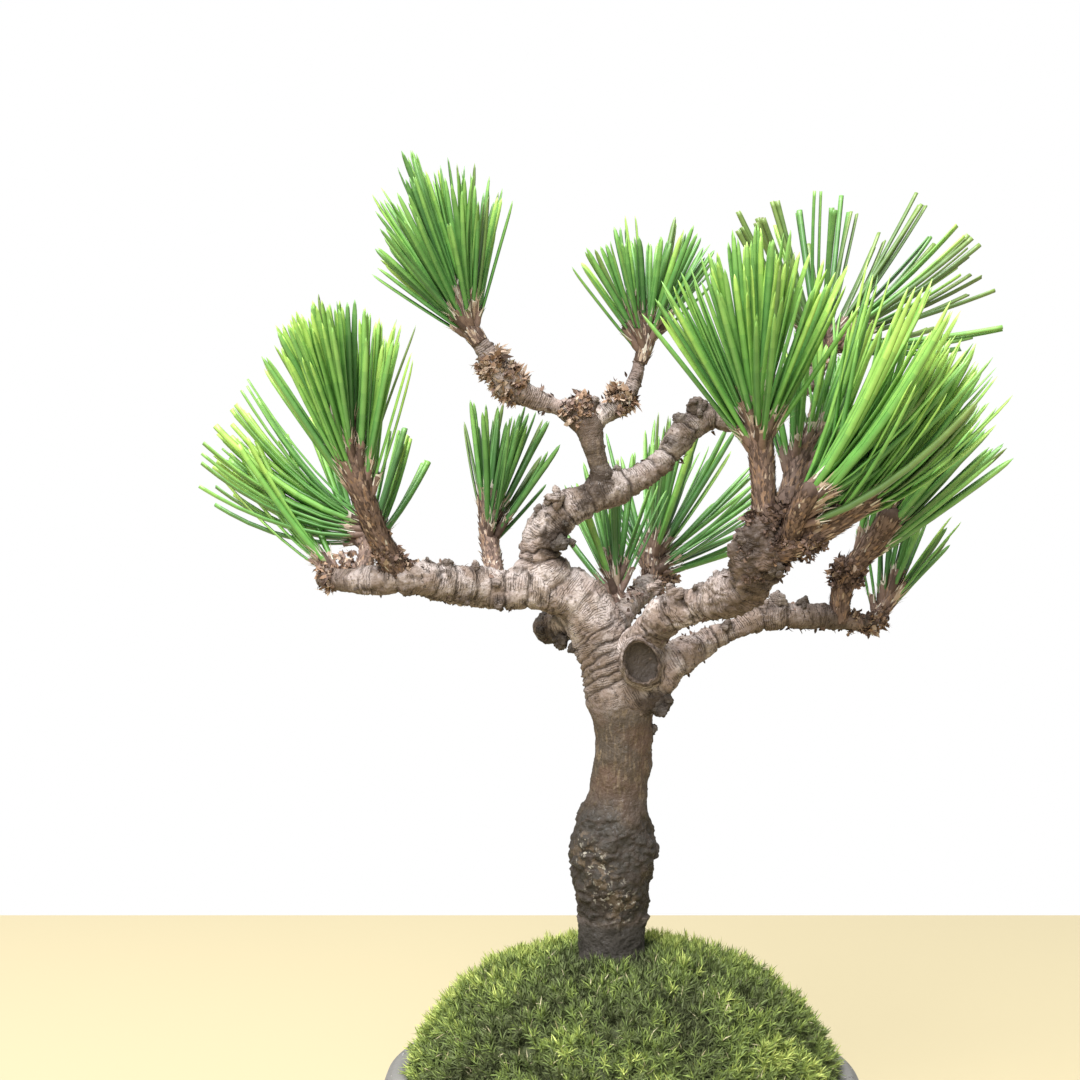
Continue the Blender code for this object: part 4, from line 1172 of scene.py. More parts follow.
        # Painted shade: the limbs darken underneath, in patches, through the under level.
        shaded = (0.2 + 0.8 * below) * patchy(surface, 0.25, seed + 93, 1, -0.9, 0.2)
        dark = np.maximum(foot, tinted * (0.55 + 0.45 * patchy(surface, 0.22, seed + 95, 2, -0.5, 0.0)))
        if limb.name == "stub_back":
            dark = 0.8 * patchy(surface, 0.5, seed + 95, 2, -0.4, 0.2)
        total = along[-1, 0]
        young = np.zeros_like(along) if trunk else smooth_step(along, 0.4 * total, 0.9 * total)
        masks = {
            "groove": groove,
            # Painted shade underneath and in the spots, with brown stains.
            "under": np.maximum(shaded, self.shade_and_stain(limb, surface, along)) * ringed,
            "brown": np.maximum(lower * (1.0 - foot) + 0.25 * foot, self.browned.get(limb.name, 0.0)),
            "dark": dark,
            "young": young * (0.72 if "right" in limb.name else 0.34),
            "fleck": bulge * self.fleck_band(surface, seed),
        }
        return height, masks

    def shade_and_stain(self, limb: Limb, surface: Array, along: Array) -> Array:
        """How brown and shaded the bark is by its place: painted shadow and stains at the spots, the middle
        of the trunk, and the upright bough.
        """
        level = np.full(surface.shape[:2], 0.85 if limb.name == "bough_upright" else 0.0)
        if limb.name == "trunk":
            level = 0.85 * smooth_step(along + 2.0 * noise(surface, 0.2, 41, 2), 69.0, 60.0)
        return np.maximum(level, self.near(surface, self.shadows_and_stains))

    def near(self, surface: Array, spots: Route) -> Array:
        """How far each point is inside the nearest of some round spots with ragged edges."""
        ragged = 1.2 * noise(surface, 0.5, 43, 2)
        level = np.zeros(surface.shape[:2])
        for x, y, z, radius in spots:
            away = np.linalg.norm(surface - (np.array((x, y, z)) + FOOT), axis=-1)
            level = np.maximum(level, smooth_step(away + ragged, radius, 0.45 * radius))
        return level

    def fleck_band(self, surface: Array, seed: int) -> Array:
        """Where the swelling is flecked: a band that falls across its front, widened by noise."""
        start, end = np.array(self.flecks_from) + FOOT, np.array(self.flecks_to) + FOOT
        run = end - start
        share = np.clip(((surface - start) @ run) / (run @ run), 0, 1)
        away = np.linalg.norm(surface - start - share[..., None] * run, axis=-1)
        return smooth_step(away + 2.2 * noise(surface, 0.5, seed + 97, 2), 4.2, 1.6)

    def rings(self, limb: Limb, wave: Array, surface: Array, seed: int) -> tuple[Array, Array]:
        """Swellings between narrow creases across the limb.

        Each crease is a dip of exp(-(d/width)^2) round its station, broken along the limb's girth by noise.
        Between two named creases the limb swells by sqrt(4t(1-t)).

        Args:
            limb: the limb.
            wave: the wandering distance along the limb.
            surface: its grid of points.
            seed: picks the pattern.

        Returns:
            The height, and how far each point is in a crease.
        """
        chance = np.random.default_rng(seed)
        total = wave.max()
        count = max(2, int(total / self.ring_gap))
        named = np.array(self.creases.get(limb.name, ())).reshape(-1, 2)
        placed = (np.arange(count) + chance.uniform(0.1, 0.9, count)) * self.ring_gap
        stations = np.append(placed, named[:, 0])
        depths = np.append(chance.uniform(0.05, 0.22, count), named[:, 1])
        widths = np.append(chance.uniform(0.12, 0.2, count), np.full(len(named), 0.24))
        height, groove = np.zeros_like(wave), np.zeros_like(wave)
        for index, (station, depth, width) in enumerate(zip(stations, depths, widths)):
            away = np.abs(wave - station)
            near = away < 3.0 * self.ring_gap
            broken = np.zeros_like(wave)
            broken[near] = patchy(surface[near], 0.34, seed + 100 + index, 1, -0.3, 0.2)
            if index >= count:
                broken = 0.45 + 0.55 * broken
            dip = np.exp(-((away / width) ** 2)) * broken
            height -= depth * dip
            groove = np.maximum(groove, dip * min(1.0, depth / 0.24))
        ends = np.concatenate([[0.0], np.sort(named[:, 0]), [total]])
        swelling = np.zeros_like(wave)
        for low, high in zip(ends[:-1], ends[1:]):
            share = np.clip((wave - low) / max(high - low, 0.1), 0.0, 1.0)
            swelling = np.maximum(swelling, np.sqrt(4 * share * (1 - share)) * min(1.0, (high - low) / 4.0))
        uneven = 0.6 + 0.8 * noise(surface, 0.28, seed + 130)
        return height + 0.42 * (swelling - 0.7) * uneven, groove

    def along_noise(self, wave: Array, out: Array, fine: float, round_scale: float, seed: int) -> Array:
        """Noise that is fine along the limb and long round it, between -1 and 1."""
        places = np.stack([out[..., 0] * 2.0, out[..., 1] * 2.0 + out[..., 2] * 1.3, wave], axis=-1)
        return noise(places, (round_scale, round_scale, fine), seed)

    def blend(self, limb: Limb, surface: Array) -> Array:
        """How far the surface swells towards its neighbours: (1 - d / fillet)^2 * fillet / 4."""
        swell = np.zeros(surface.shape[:2])
        for other in LIMBS:
            if other is limb:
                continue
            line, radii = other.line(0.8)
            low, high = line.min(0) - 9.0, line.max(0) + 9.0
            near = np.all((surface > low) & (surface < high), axis=-1)
            if not near.any():
                continue
            apart = np.linalg.norm(surface[near][:, None] - line[None], axis=-1) - radii[None]
            closeness = np.clip(1.0 - np.maximum(apart.min(axis=1), 0.0) / self.fillet, 0.0, 1.0)
            swell[near] = np.maximum(swell[near], closeness**2 * self.fillet / 4.0)
        return swell


@dataclass
class Scar:
    """The cut stub on the front: a collar of bark that rolls in over a shallow, dark and weathered face,
    with a soft patch of painted shade on it.
    """

    start: Point = (6.0, -1.0, 57.2)
    end: Point = (4.4, -11.0, 58.7)
    facing: Point = (0.28, -1.0, -0.12)
    profile: tuple[tuple[float, float], ...] = (
        (0.0, 5.3), (4.0, 5.0), (5.6, 4.75), (6.8, 4.5), (7.7, 4.2), (8.3, 3.9), (8.5, 3.7), (8.4, 3.5),
        (7.9, 3.35), (7.2, 3.15), (6.7, 2.5), (6.4, 1.4), (6.3, 0.5), (6.3, 0.03),
    )
    narrow: float = 0.86
    tall: float = 1.14
    tilt: float = -28.0
    sides: int = 160
    face_from: float = 0.67

    def build(self, finish: Material) -> None:
        """Makes the stub, whose last rings are the dark face."""
        start, end = np.array(self.start) + FOOT, np.array(self.end) + FOOT
        path, axis = unit(end - start), unit(np.array(self.facing))
        level = unit(np.cross(axis, UP))
        above = np.cross(level, axis)
        turn = math.radians(self.tilt)
        side = math.cos(turn) * level + math.sin(turn) * above
        up = math.cos(turn) * above - math.sin(turn) * level
        rows = smooth_line(np.array([(a, r, 0.0) for a, r in self.profile]), 0.2)
        angles = ring_angles(self.sides)[None, :, None]
        loop = np.stack([np.cos(angles[..., 0]), np.sin(angles[..., 0]), 0 * angles[..., 0]], axis=-1)
        uneven = 1.0 + 0.13 * noise(loop, 1.3, 11, 2)[..., None] + 0.05 * noise(loop, 5.0, 12, 2)[..., None]
        out = (self.narrow * np.cos(angles) * side - self.tall * np.sin(angles) * up) * uneven
        surface = start + path * rows[:, 0][:, None, None] + out * rows[:, 1][:, None, None]
        share = np.broadcast_to(np.linspace(0, 1, len(rows))[:, None], surface.shape[:2])
        ragged = share + 0.03 * noise(surface, 0.9, 13, 2)
        inside = smooth_step(ragged, self.face_from, self.face_from + 0.04)
        unrolled = np.stack([angles[..., 0] * 1.2 + 0 * share, share * 16.0, 0 * share], axis=-1)
        rolls = np.abs(noise(unrolled, 1.0, 5, 2))
        bark = 0.34 * (0.4 - rolls) + 0.22 * noise(surface, 0.7, 6, 2)
        rot_border, rot = plates(surface, (0.9, 0.5, 0.9), 7)
        rot = 0.3 * (rot - 0.5) * smooth_step(rot_border, 0.0, 0.4) + 0.5 * noise(surface, 0.3, 8, 2)
        near_lip = np.exp(-(((share - self.face_from) / 0.07) ** 2))
        waves = 0.5 * noise(surface, 0.4, 9, 2) + 0.25 * noise(surface, 1.4, 10)
        lip = near_lip * waves + 0.6 * rot * inside
        fade = np.minimum(1.0, rows[:, 1] / 1.5)[:, None]
        surface = surface + out * (bark * (1 - inside) * fade)[..., None] + axis * lip[..., None]
        zero = np.zeros(share.size)
        lipped = 0.8 * near_lip * patchy(surface, 0.9, 9, 1, -0.6, 0.3)
        ring = np.maximum(smooth_step(rolls, 0.16, 0.02), lipped)
        # Painted shade: a soft darker patch on the face, a little above its middle.
        hollow_shade = np.exp(-((np.linalg.norm(surface - (end + 1.0 * UP - 0.8 * side), axis=-1) / 2.2) ** 2))
        levels = {
            "groove": (0.9 * ring + 0.1) * (1 - inside) + 0.4 * inside,
            "brown": 0.55 * inside + 0.2 * near_lip,
            "under": 0.25 + 0.5 * near_lip * patchy(surface, 0.6, 14, 1, -0.3, 0.4),
            # The face is dark, and darker still by the painted shade patch.
            "dark": (0.74 + 0.26 * hollow_shade) * inside,
            "along": share * 14.0,
        }
        levels = {label: values.ravel() for label, values in levels.items()}
        obj = tube_piece("wood_stub_front", surface, [finish], young=zero, fleck=zero, **levels)
        place(obj, "bark", "stub_front")


# Leaves, scales and needles


@dataclass
class Pairs:
    """Pairs of needles, as arrays with one row for each pair."""

    roots: Array
    headings: Array
    outs: Array
    lengths: Array
    lifts: Array
    cut: Array
    tone: Array

    def spine(self, stations: Array) -> Array:
        """Points along each pair: root + t * length * heading + t^2 * length * lift * up."""
        t = stations[None, :, None]
        straight = t * self.headings[:, None] + t**2 * self.lifts[:, None, None] * UP
        return self.roots[:, None] + straight * self.lengths[:, None, None]

    def square(self) -> tuple[Array, Array]:
        """Two directions square to each pair's heading and to each other."""
        first = unit(np.cross(self.headings, self.outs))
        return first, np.cross(first, self.headings)


@dataclass
class Brushes:
    """The shoots, their scales, and the needles that stand out of them by the source's rule."""

    needle_width: float = 1.08
    needle_depth: float = 0.45
    sheath_length: float = 4.6
    sheath_radius: float = 0.66
    stem_sides: int = 24
    scale_area: float = 0.17
    space_margin: float = 0.2
    wood_margin: float = 0.7
    stations: tuple[float, ...] = (0.0, 0.1, 0.28, 0.46, 0.62, 0.78, 0.9, 0.965, 1.0)
    pointed: tuple[float, ...] = (0.62, 0.86, 1.0, 1.0, 0.98, 0.94, 0.8, 0.52, 0.06)
    blunted: tuple[float, ...] = (0.62, 0.86, 1.0, 1.0, 1.0, 0.98, 0.97, 0.96, 0.94)
    profile: tuple[tuple[float, float], ...] = (
        (1.0, 0.0), (0.62, 0.78), (0.0, 1.0), (-0.62, 0.78), (-1.0, 0.0), (0.0, 0.16),
    )

    def wood_rows(self, mass: Mass) -> Array:
        """Points and radii of the limbs, and of all the other masses' stems."""
        routes = [limb.route for limb in LIMBS]
        routes += [shoot.route for other in MASSES if other is not mass for shoot in other.shoots]
        rows = np.vstack([smooth_line(route, 1.5) for route in routes])
        rows[:, :3] += FOOT
        return rows

    def distance(self, points: Array, shoot: Shoot) -> Array:
        """The distance of each point from the middle line of a shoot's brush."""
        start, end = shoot.axis()
        run = end - start
        share = np.clip(((points - start) @ run) / (run @ run), 0, 1)
        return np.linalg.norm(points - start - share[..., None] * run, axis=-1)

    def grow(self, mass: Mass, shoot: Shoot, chance: Chance) -> Pairs:
        """The pairs of a shoot.

        They climb its last stretch at the golden angle. The lowest lean out by the whole spread, the top one
        hardly at all, and the lift curls them towards the sky. A pair that would leave its mass's own space
        or touch other wood is left out.
        """
        stem = Stem(smooth_line(shoot.route, 0.8))
        start, end = shoot.axis()
        reach = np.linalg.norm(end - start)
        axis = (end - start) / reach
        side = unit(np.cross(axis, (0.0, 1.0, 0.0)))
        up = np.cross(side, axis)
        zone = min(shoot.zone, stem.length * 0.75)
        count = round(shoot.count * mass.density)
        index = np.arange(count)
        climb = (index + 0.5) / count
        centre = stem.points(stem.length - zone * (1 - climb))
        turn = index * GOLDEN_ANGLE + chance.uniform(-0.6, 0.6, count)
        stray = np.radians(np.clip(chance.normal(0, 4.0, count), -9, 4))
        lean = math.radians(shoot.spread) * (1 - climb) ** 0.7 * chance.uniform(0.8, 1.0, count) + stray
        outs = around(turn, side, up)
        headings = around(lean, axis, outs) - mass.bend * UP
        shortest = 0.9 if shoot.trimmed else mass.shortest
        lengths = (reach + zone * (1 - climb) * 0.5) * chance.uniform(shortest, 1.02, count)
        lengths = lengths * (1 - mass.taper * (1 - climb))
        shares = np.array(mass.hue.value)
        tone = chance.choice(4, count, p=shares / shares.sum())
        lifts, cut = np.full(count, shoot.lift + mass.bend), np.full(count, shoot.trimmed)
        roots = centre + outs * stem.radii[-1] * 0.5
        pairs = Pairs(roots, headings, outs, lengths, lifts, cut, BLADE_LEVELS * tone)
        free = pairs.spine(np.linspace(0.18, 1.0, 12))
        own = np.min([self.distance(free, s) for s in mass.shoots], axis=0)
        rivals = [s for other in MASSES if other is not mass for s in other.shoots]
        nearest = np.min([self.distance(free, s) for s in rivals], axis=0)
        wood = self.wood_rows(mass)
        apart = np.linalg.norm(free[:, :, None] - wood[None, None, :, :3], axis=-1) - wood[:, 3]
        shown = (outs[:, 1] > -0.55) | (climb > 0.7) | (chance.random(count) > mass.open_front)
        clear = (own + self.space_margin < nearest).all(axis=1) & (apart > self.wood_margin).all(axis=(1, 2))
        return Pairs(*(getattr(pairs, name)[clear & shown] for name in Pairs.__dataclass_fields__))

    def add_needles(self, parts: MeshParts, pairs: Pairs, chance: Chance) -> None:
        """Adds two needles for each pair, back to back, that part as they leave their sheath."""
        count = len(pairs.roots)
        stations = np.array(self.stations)
        twist = chance.uniform(0, math.pi, count)
        first, second = pairs.square()
        split = around(twist, first, second)
        flat = np.cross(pairs.headings, split)
        for sign in (1.0, -1.0):
            part_by = np.tan(np.radians(chance.gamma(2.0, 0.85, count)))
            bow = chance.uniform(-0.03, 0.04, count) + chance.normal(0, 0.03, count)
            sway = chance.normal(0, 0.028, count)
            trim = chance.uniform(0.0, 0.06, count)
            length = pairs.lengths * (1.0 - np.where(pairs.cut, 0.3, 1.0) * trim)
            t = stations[None, :, None]
            spine = pairs.spine(stations)
            apart = sign * split[:, None] * (0.14 + t * (part_by * length)[:, None, None])
            bend = (bow * length)[:, None, None] * split[:, None]
            bend = bend + (sway * length)[:, None, None] * flat[:, None]
            shorter = (length / pairs.lengths)[:, None, None]
            spine = pairs.roots[:, None] + (spine - pairs.roots[:, None]) * shorter + apart + t**2 * bend
            width = np.where(pairs.cut[:, None], np.array(self.blunted), np.array(self.pointed))
            width = width * chance.uniform(0.86, 1.14, count)[:, None]
            tangents = unit(np.gradient(spine, axis=1))
            across = unit(np.cross(tangents, sign * split[:, None]))
            outer = np.cross(across, tangents)
            shape = np.array(self.profile)
            ring = (across[:, :, None] * shape[:, 0, None] * 0.5 * self.needle_width
                    + outer[:, :, None] * shape[:, 1, None] * self.needle_depth) * width[:, :, None, None]
            vertices = (spine[:, :, None] + ring).reshape(count, -1, 3)
            sides = len(shape)
            faces = tube_faces(len(stations), sides)
            band = np.repeat(np.arange(len(stations) - 1), sides)[None]
            level = np.clip(band - 2 + chance.integers(-1, 2, (count, 1)), 0, BLADE_LEVELS - 1)
            low = pairs.tone[:, None]
            slots = np.where(band < 1, Leaf.ROOT, low + level)
            ends = np.where(pairs.cut, Leaf.CUT, pairs.tone + BLADE_LEVELS - 1)[:, None]
            parts.add_copies(vertices, faces, [slots, low, ends])

    def add_sheaths(self, parts: MeshParts, pairs: Pairs, chance: Chance) -> None:
        """Adds the papery sheath round each pair's foot: brown below, with a ragged pale rim."""
        count = len(pairs.roots)
        sides = 7
        length = self.sheath_length * chance.uniform(0.75, 1.2, count)
        levels = np.array((-0.25, 0.25, 0.62, 0.84, 1.0))
        girth = np.array((0.8, 1.15, 1.02, 1.0, 1.12))
        stations = levels[None] * (length / pairs.lengths)[:, None]
        t = stations[:, :, None]
        spine = pairs.roots[:, None] + (t * pairs.headings[:, None]) * pairs.lengths[:, None, None]
        first, second = pairs.square()
        angles = ring_angles(sides)
        ring = around(angles[None], first[:, None], second[:, None])
        uneven = chance.uniform(0.85, 1.15, (count, 5, sides, 1))
        radius = self.sheath_radius * girth[None, :, None, None] * uneven
        ragged = np.zeros((count, 5, sides))
        ragged[:, 3:] = chance.uniform(-0.6, 0.5, (count, 2, sides))
        vertices = spine[:, :, None] + ring[:, None] * radius
        vertices = vertices + pairs.headings[:, None, None] * ragged[..., None]
        faces = tube_faces(5, sides)[:1]
        band = np.repeat(np.arange(4), sides)[None]
        lower = chance.choice([Scale.BROWN, Scale.DARK, Scale.TAN], count, p=(0.68, 0.24, 0.08))
        upper = chance.choice([Scale.BROWN, Scale.TAN, Scale.PALE], count, p=(0.5, 0.38, 0.12))
        slots = np.where(band < 3, lower[:, None], upper[:, None])
        parts.add_copies(vertices.reshape(count, -1, 3), faces, [slots])
        self.add_fibres(parts, pairs, length, chance)

    def add_fibres(self, parts: MeshParts, pairs: Pairs, sheath: Array, chance: Chance) -> None:
        """Adds the torn ends of each sheath: thin pale strips that hug the needles."""
        each = 9
        many = len(pairs.roots) * each
        first, second = pairs.square()
        turn = chance.uniform(0, 6.28, (len(pairs.roots), 1)) + np.arange(each) * GOLDEN_ANGLE
        out = around(turn, first[:, None], second[:, None]).reshape(many, 3)
        start = np.repeat(sheath, each) * chance.uniform(0.45, 1.0, many)
        heading = np.repeat(pairs.headings, each, axis=0)
        roots = np.repeat(pairs.roots, each, axis=0) + heading * start[:, None]
        roots = roots + out * self.sheath_radius * 1.02
        pointing = unit(heading + 0.1 * out + 0.1 * chance.normal(size=(many, 3)))
        parts.add_leaves(
            roots, pointing, square_to(pointing, out), chance.uniform(1.2, 3.2, many),
            chance.uniform(0.12, 0.3, many), chance.uniform(-0.1, 0.3, many), (1.0, 0.9, 0.6),
            np.where(chance.random(many) < 0.66, Scale.PALE, Scale.TAN),
        )

    def add_stem(self, parts: MeshParts, shoot: Shoot, seed: int) -> None:
        """Adds a shoot's wood: a knobbly tapering tube that ends in a small bud."""
        stem = Stem(smooth_line(shoot.route, 0.45))
        tangents, side, up = stem.frames
        tip = np.linspace(0, math.pi / 2, 6)[1:]
        radii = stem.radii * 0.86
        line = np.vstack([stem.line, stem.line[-1] + tangents[-1] * np.sin(tip)[:, None] * radii[-1] * 1.1])
        radii = np.append(radii, radii[-1] * np.maximum(np.cos(tip), 0.03))
        side, up = (np.vstack([part, np.repeat(part[-1:], 5, axis=0)])[:, None] for part in (side, up))
        out = around(ring_angles(self.stem_sides)[None], side, up)
        surface = line[:, None] + out * radii[:, None, None]
        lumps = 0.22 * noise(surface, 0.8, seed, 2)
        surface = surface + out * lumps[..., None]
        parts.add(surface, tube_faces(len(line), self.stem_sides), Scale.DARK)

    def add_scales(self, parts: MeshParts, mass: Mass, shoot: Shoot, chance: Chance) -> None:
        """Adds the small scale leaves that cover a shoot like shingles, at the golden angle.

        The more dust a mass has, the more of its scales are pale.
        """
        stem = Stem(smooth_line(shoot.route, 0.8))
        count = int(stem.length * stem.radii.mean() * 2 * math.pi / self.scale_area)
        at = np.linspace(0.0, stem.length - 0.5, count)
        axis, out = stem.directions(at, np.arange(count) * GOLDEN_ANGLE + chance.uniform(-0.4, 0.4, count))
        roots = stem.points(at) + out * (stem.radius(at) * 0.88)[:, None]
        tilt = np.radians(chance.gamma(2.0, 2.4, count) + 0.5)[:, None]
        headings = unit(np.cos(tilt) * axis + np.sin(tilt) * out + 0.06 * chance.normal(size=(count, 3)))
        plain, dusty = np.array((0.28, 0.52, 0.15, 0.04, 0.01)), np.array((0.1, 0.36, 0.14, 0.26, 0.14))
        parts.add_leaves(
            roots, headings, square_to(headings, out), chance.uniform(1.0, 2.1, count),
            chance.uniform(0.26, 0.62, count), chance.uniform(-0.15, 0.15, count), (0.8, 1.0, 0.8),
            chance.choice(5, count, p=plain + mass.dust * (dusty - plain)),
        )

    def build(self, needles: list[Material], scales: list[Material]) -> None:
        """Makes two pieces for each mass: its needles, and its shoots with their scales and sheaths."""
        for mass in MASSES:
            chance = np.random.default_rng(mass.seed)
            green, brown = MeshParts(), MeshParts()
            for index, shoot in enumerate(mass.shoots):
                pairs = self.grow(mass, shoot, chance)
                self.add_needles(green, pairs, chance)
                self.add_sheaths(brown, pairs, chance)
                self.add_stem(brown, shoot, 10 * mass.seed + index)
                self.add_scales(brown, mass, shoot, chance)
            place(green.build(mass.name.replace("needles", "blades"), needles), "needles", mass.name)
            place(brown.build(mass.name.replace("needles", "shoot"), scales), "bark")


@dataclass(frozen=True)
class Frill:
    """A ruff of old bud scales round part of a limb or shoot: its line, scales, their length and flare."""

    line: Route
    count: int
    length: float
    flare: float
    tones: tuple[float, float, float, float, float] = (0.2, 0.36, 0.18, 0.22, 0.04)


@dataclass
class Frills:
    """The ragged ruffs of old bud scales where shoots start, and flakes on the boughs.

    The flakes are given as how many are tried to a millimetre of bough.
    """

    each: int = 13
    flakes: float = 9.0
    frills: tuple[Frill, ...] = (
        Frill(((-16.8, 0, 106.6, 1.9), (-18.6, -0.5, 108, 2.5), (-20.3, -1, 109.5, 2.4),
               (-22.4, -1.6, 112.4, 1.8)),
              1500, 1.4, 66, (0.04, 0.14, 0.3, 0.42, 0.1)),
        Frill(((-0.4, 0.8, 103.4, 1.5), (1.2, 1, 104.8, 2.0), (2.8, 1, 106.4, 1.8)), 620, 1.25, 66,
              (0.08, 0.24, 0.22, 0.38, 0.08)),
        Frill(((-8.0, -0.8, 100.8, 1.8), (-6.4, -1.0, 102.6, 2.3), (-4.6, -0.6, 104.6, 1.8)), 600, 1.0, 56,
              (0.14, 0.38, 0.2, 0.26, 0.02)),
        Frill(((22.6, -28.0, 74.5, 3.7), (23.4, -31.0, 80.8, 3.8), (23.2, -32.4, 85.5, 2.3)), 1300, 0.85, 50,
              (0.58, 0.36, 0.06, 0.0, 0.0)),
        Frill(((24.0, -30.4, 77.6, 2.6), (26.9, -32, 78.9, 2.9), (32, -33.2, 82.0, 2.6)), 1100, 0.9, 52,
              (0.46, 0.42, 0.1, 0.02, 0.0)),
        Frill(((42.4, 4.6, 71.4, 1.9), (42.8, 3.6, 73.4, 2.4), (43.8, 2.4, 75.8, 2.2)), 1000, 1.0, 60,
              (0.38, 0.44, 0.14, 0.04, 0.0)),
        Frill(((43.0, 6.6, 64.9, 1.4), (45, 7.3, 64.6, 1.4), (49.2, 8, 64.5, 1.1),
               (50.6, 9.2, 66.0, 1.0)), 640, 1.0, 54,
              (0.22, 0.36, 0.22, 0.18, 0.02)),
        Frill(((-37.4, -8.2, 73.6, 2.2), (-39.4, -10.0, 76.8, 2.1), (-41.0, -12, 80.2, 1.9)), 620, 0.95, 50,
              (0.18, 0.5, 0.18, 0.14, 0.0)),
        Frill(((-49.2, -2.6, 73, 1.6), (-50.6, -1.8, 73, 1.6), (-52.6, -0.9, 73.1, 1.1)), 300, 1.3, 36,
              (0.16, 0.34, 0.32, 0.18, 0.0)),
        Frill(((-47.0, -3.2, 73.6, 1.3), (-47.8, -0.6, 75, 1.3), (-48.3, 2, 76.4, 1.2)), 220, 1.0, 54,
              (0.2, 0.36, 0.3, 0.14, 0.0)),
        Frill(((8.3, 23, 70.9, 2.0), (10, 26, 71.6, 2.0), (12.6, 28.4, 72.3, 1.6)), 420, 1.05, 52),
        Frill(((38.6, 8.8, 111.6, 1.9), (39.2, 9, 115, 1.9)), 380, 1.05, 52),
    )

    def add(self, parts: MeshParts, frill: Frill, chance: Chance) -> None:
        """Adds one ruff: small clumps at the golden angle along its line, each a spray of curled scales."""
        stem = Stem(smooth_line(frill.line, 0.5))
        clumps = max(8, frill.count // self.each)
        at = chance.uniform(0.0, stem.length, clumps)
        axis, out = stem.directions(at, np.arange(clumps) * GOLDEN_ANGLE + chance.uniform(-0.5, 0.5, clumps))
        standing = stem.radius(at) * chance.uniform(0.72, 1.12, clumps)
        middles = stem.points(at) + out * standing[:, None]
        tilt = np.radians(frill.flare * chance.uniform(0.4, 1.4, clumps))[:, None]
        leading = unit(np.cos(tilt) * axis + np.sin(tilt) * out + 0.3 * chance.normal(size=(clumps, 3)))
        shares = np.array(frill.tones)
        tone = chance.choice(5, clumps, p=shares / shares.sum())
        size = chance.uniform(0.6, 1.25, clumps)
        count = clumps * self.each
        owner = np.repeat(np.arange(clumps), self.each)
        roots = middles[owner] + 0.34 * chance.normal(size=(count, 3)) * size[owner, None]
        headings = unit(leading[owner] + 0.8 * chance.normal(size=(count, 3)))
        lengths = frill.length * size[owner] * chance.uniform(0.6, 1.2, count)
        widths, curls = chance.uniform(0.34, 0.82, count), chance.uniform(-1.2, 1.2, count)
        shape = (0.7, 1.0, 1.1, 0.9)
        stray = 0.07 * chance.normal(size=(count, 2 * len(shape) + 1, 3))
        other = chance.choice(5, count, p=shares / shares.sum())
        slots = np.where(chance.random(count) < 0.55, tone[owner], other)
        faces = square_to(headings, out[owner], 1e-6)
        parts.add_leaves(roots, headings, faces, lengths, widths, curls, shape, slots, stray)

    def add_flakes(self, parts: MeshParts, limb: Limb, seed: int) -> None:
        """Adds loose flakes of bark that stand a little off a limb, in patches."""
        chance = np.random.default_rng(seed)
        stem = Stem(smooth_line(limb.route, 0.5))
        count = int(stem.length * self.flakes)
        at = chance.uniform(0.12, 0.97, count) * stem.length
        axis, out = stem.directions(at, chance.uniform(0, 2 * math.pi, count))
        roots = stem.points(at) + out * (stem.radius(at) * 0.92)[:, None]
        edge = smooth_step(np.abs(out[:, 2]), 0.35, 0.9) * patchy(roots, 0.35, seed, 1, -0.3, 0.3)
        keep = edge > chance.uniform(0.0, 1.0, count)
        roots, out, axis = roots[keep], out[keep], axis[keep]
        kept = len(roots)
        tilt = np.radians(chance.uniform(8, 60, kept))[:, None]
        swing = 0.6 * chance.normal(size=(kept, 3))
        along = unit(axis * chance.choice((-1.0, 1.0), kept)[:, None] + swing)
        headings = unit(np.cos(tilt) * along + np.sin(tilt) * out)
        tones = [Scale.DARK, Scale.BROWN, Scale.TAN]
        parts.add_leaves(
            roots, headings, square_to(headings, out), chance.uniform(0.6, 1.3, kept),
            chance.uniform(0.4, 0.9, kept), chance.uniform(-0.3, 0.3, kept), (0.8, 1.0, 0.8),
            # Painted shade: flakes under the limb are always dark.
            np.where(out[:, 2] < 0, Scale.DARK, chance.choice(tones, kept, p=(0.5, 0.35, 0.15))),
        )

    def build(self, scales: list[Material]) -> None:
        """Makes one piece of ruffs and one of flakes."""
        chance = np.random.default_rng(77)
        ruffs, flakes = MeshParts(), MeshParts()
        for frill in self.frills:
            self.add(ruffs, frill, chance)
        for seed, limb in enumerate(LIMBS[1:], start=200):
            self.add_flakes(flakes, limb, seed)
        place(ruffs.build("bud_scale_ruffs", scales), "bark")
        place(flakes.build("bark_flakes", scales), "bark")


# Pot and moss


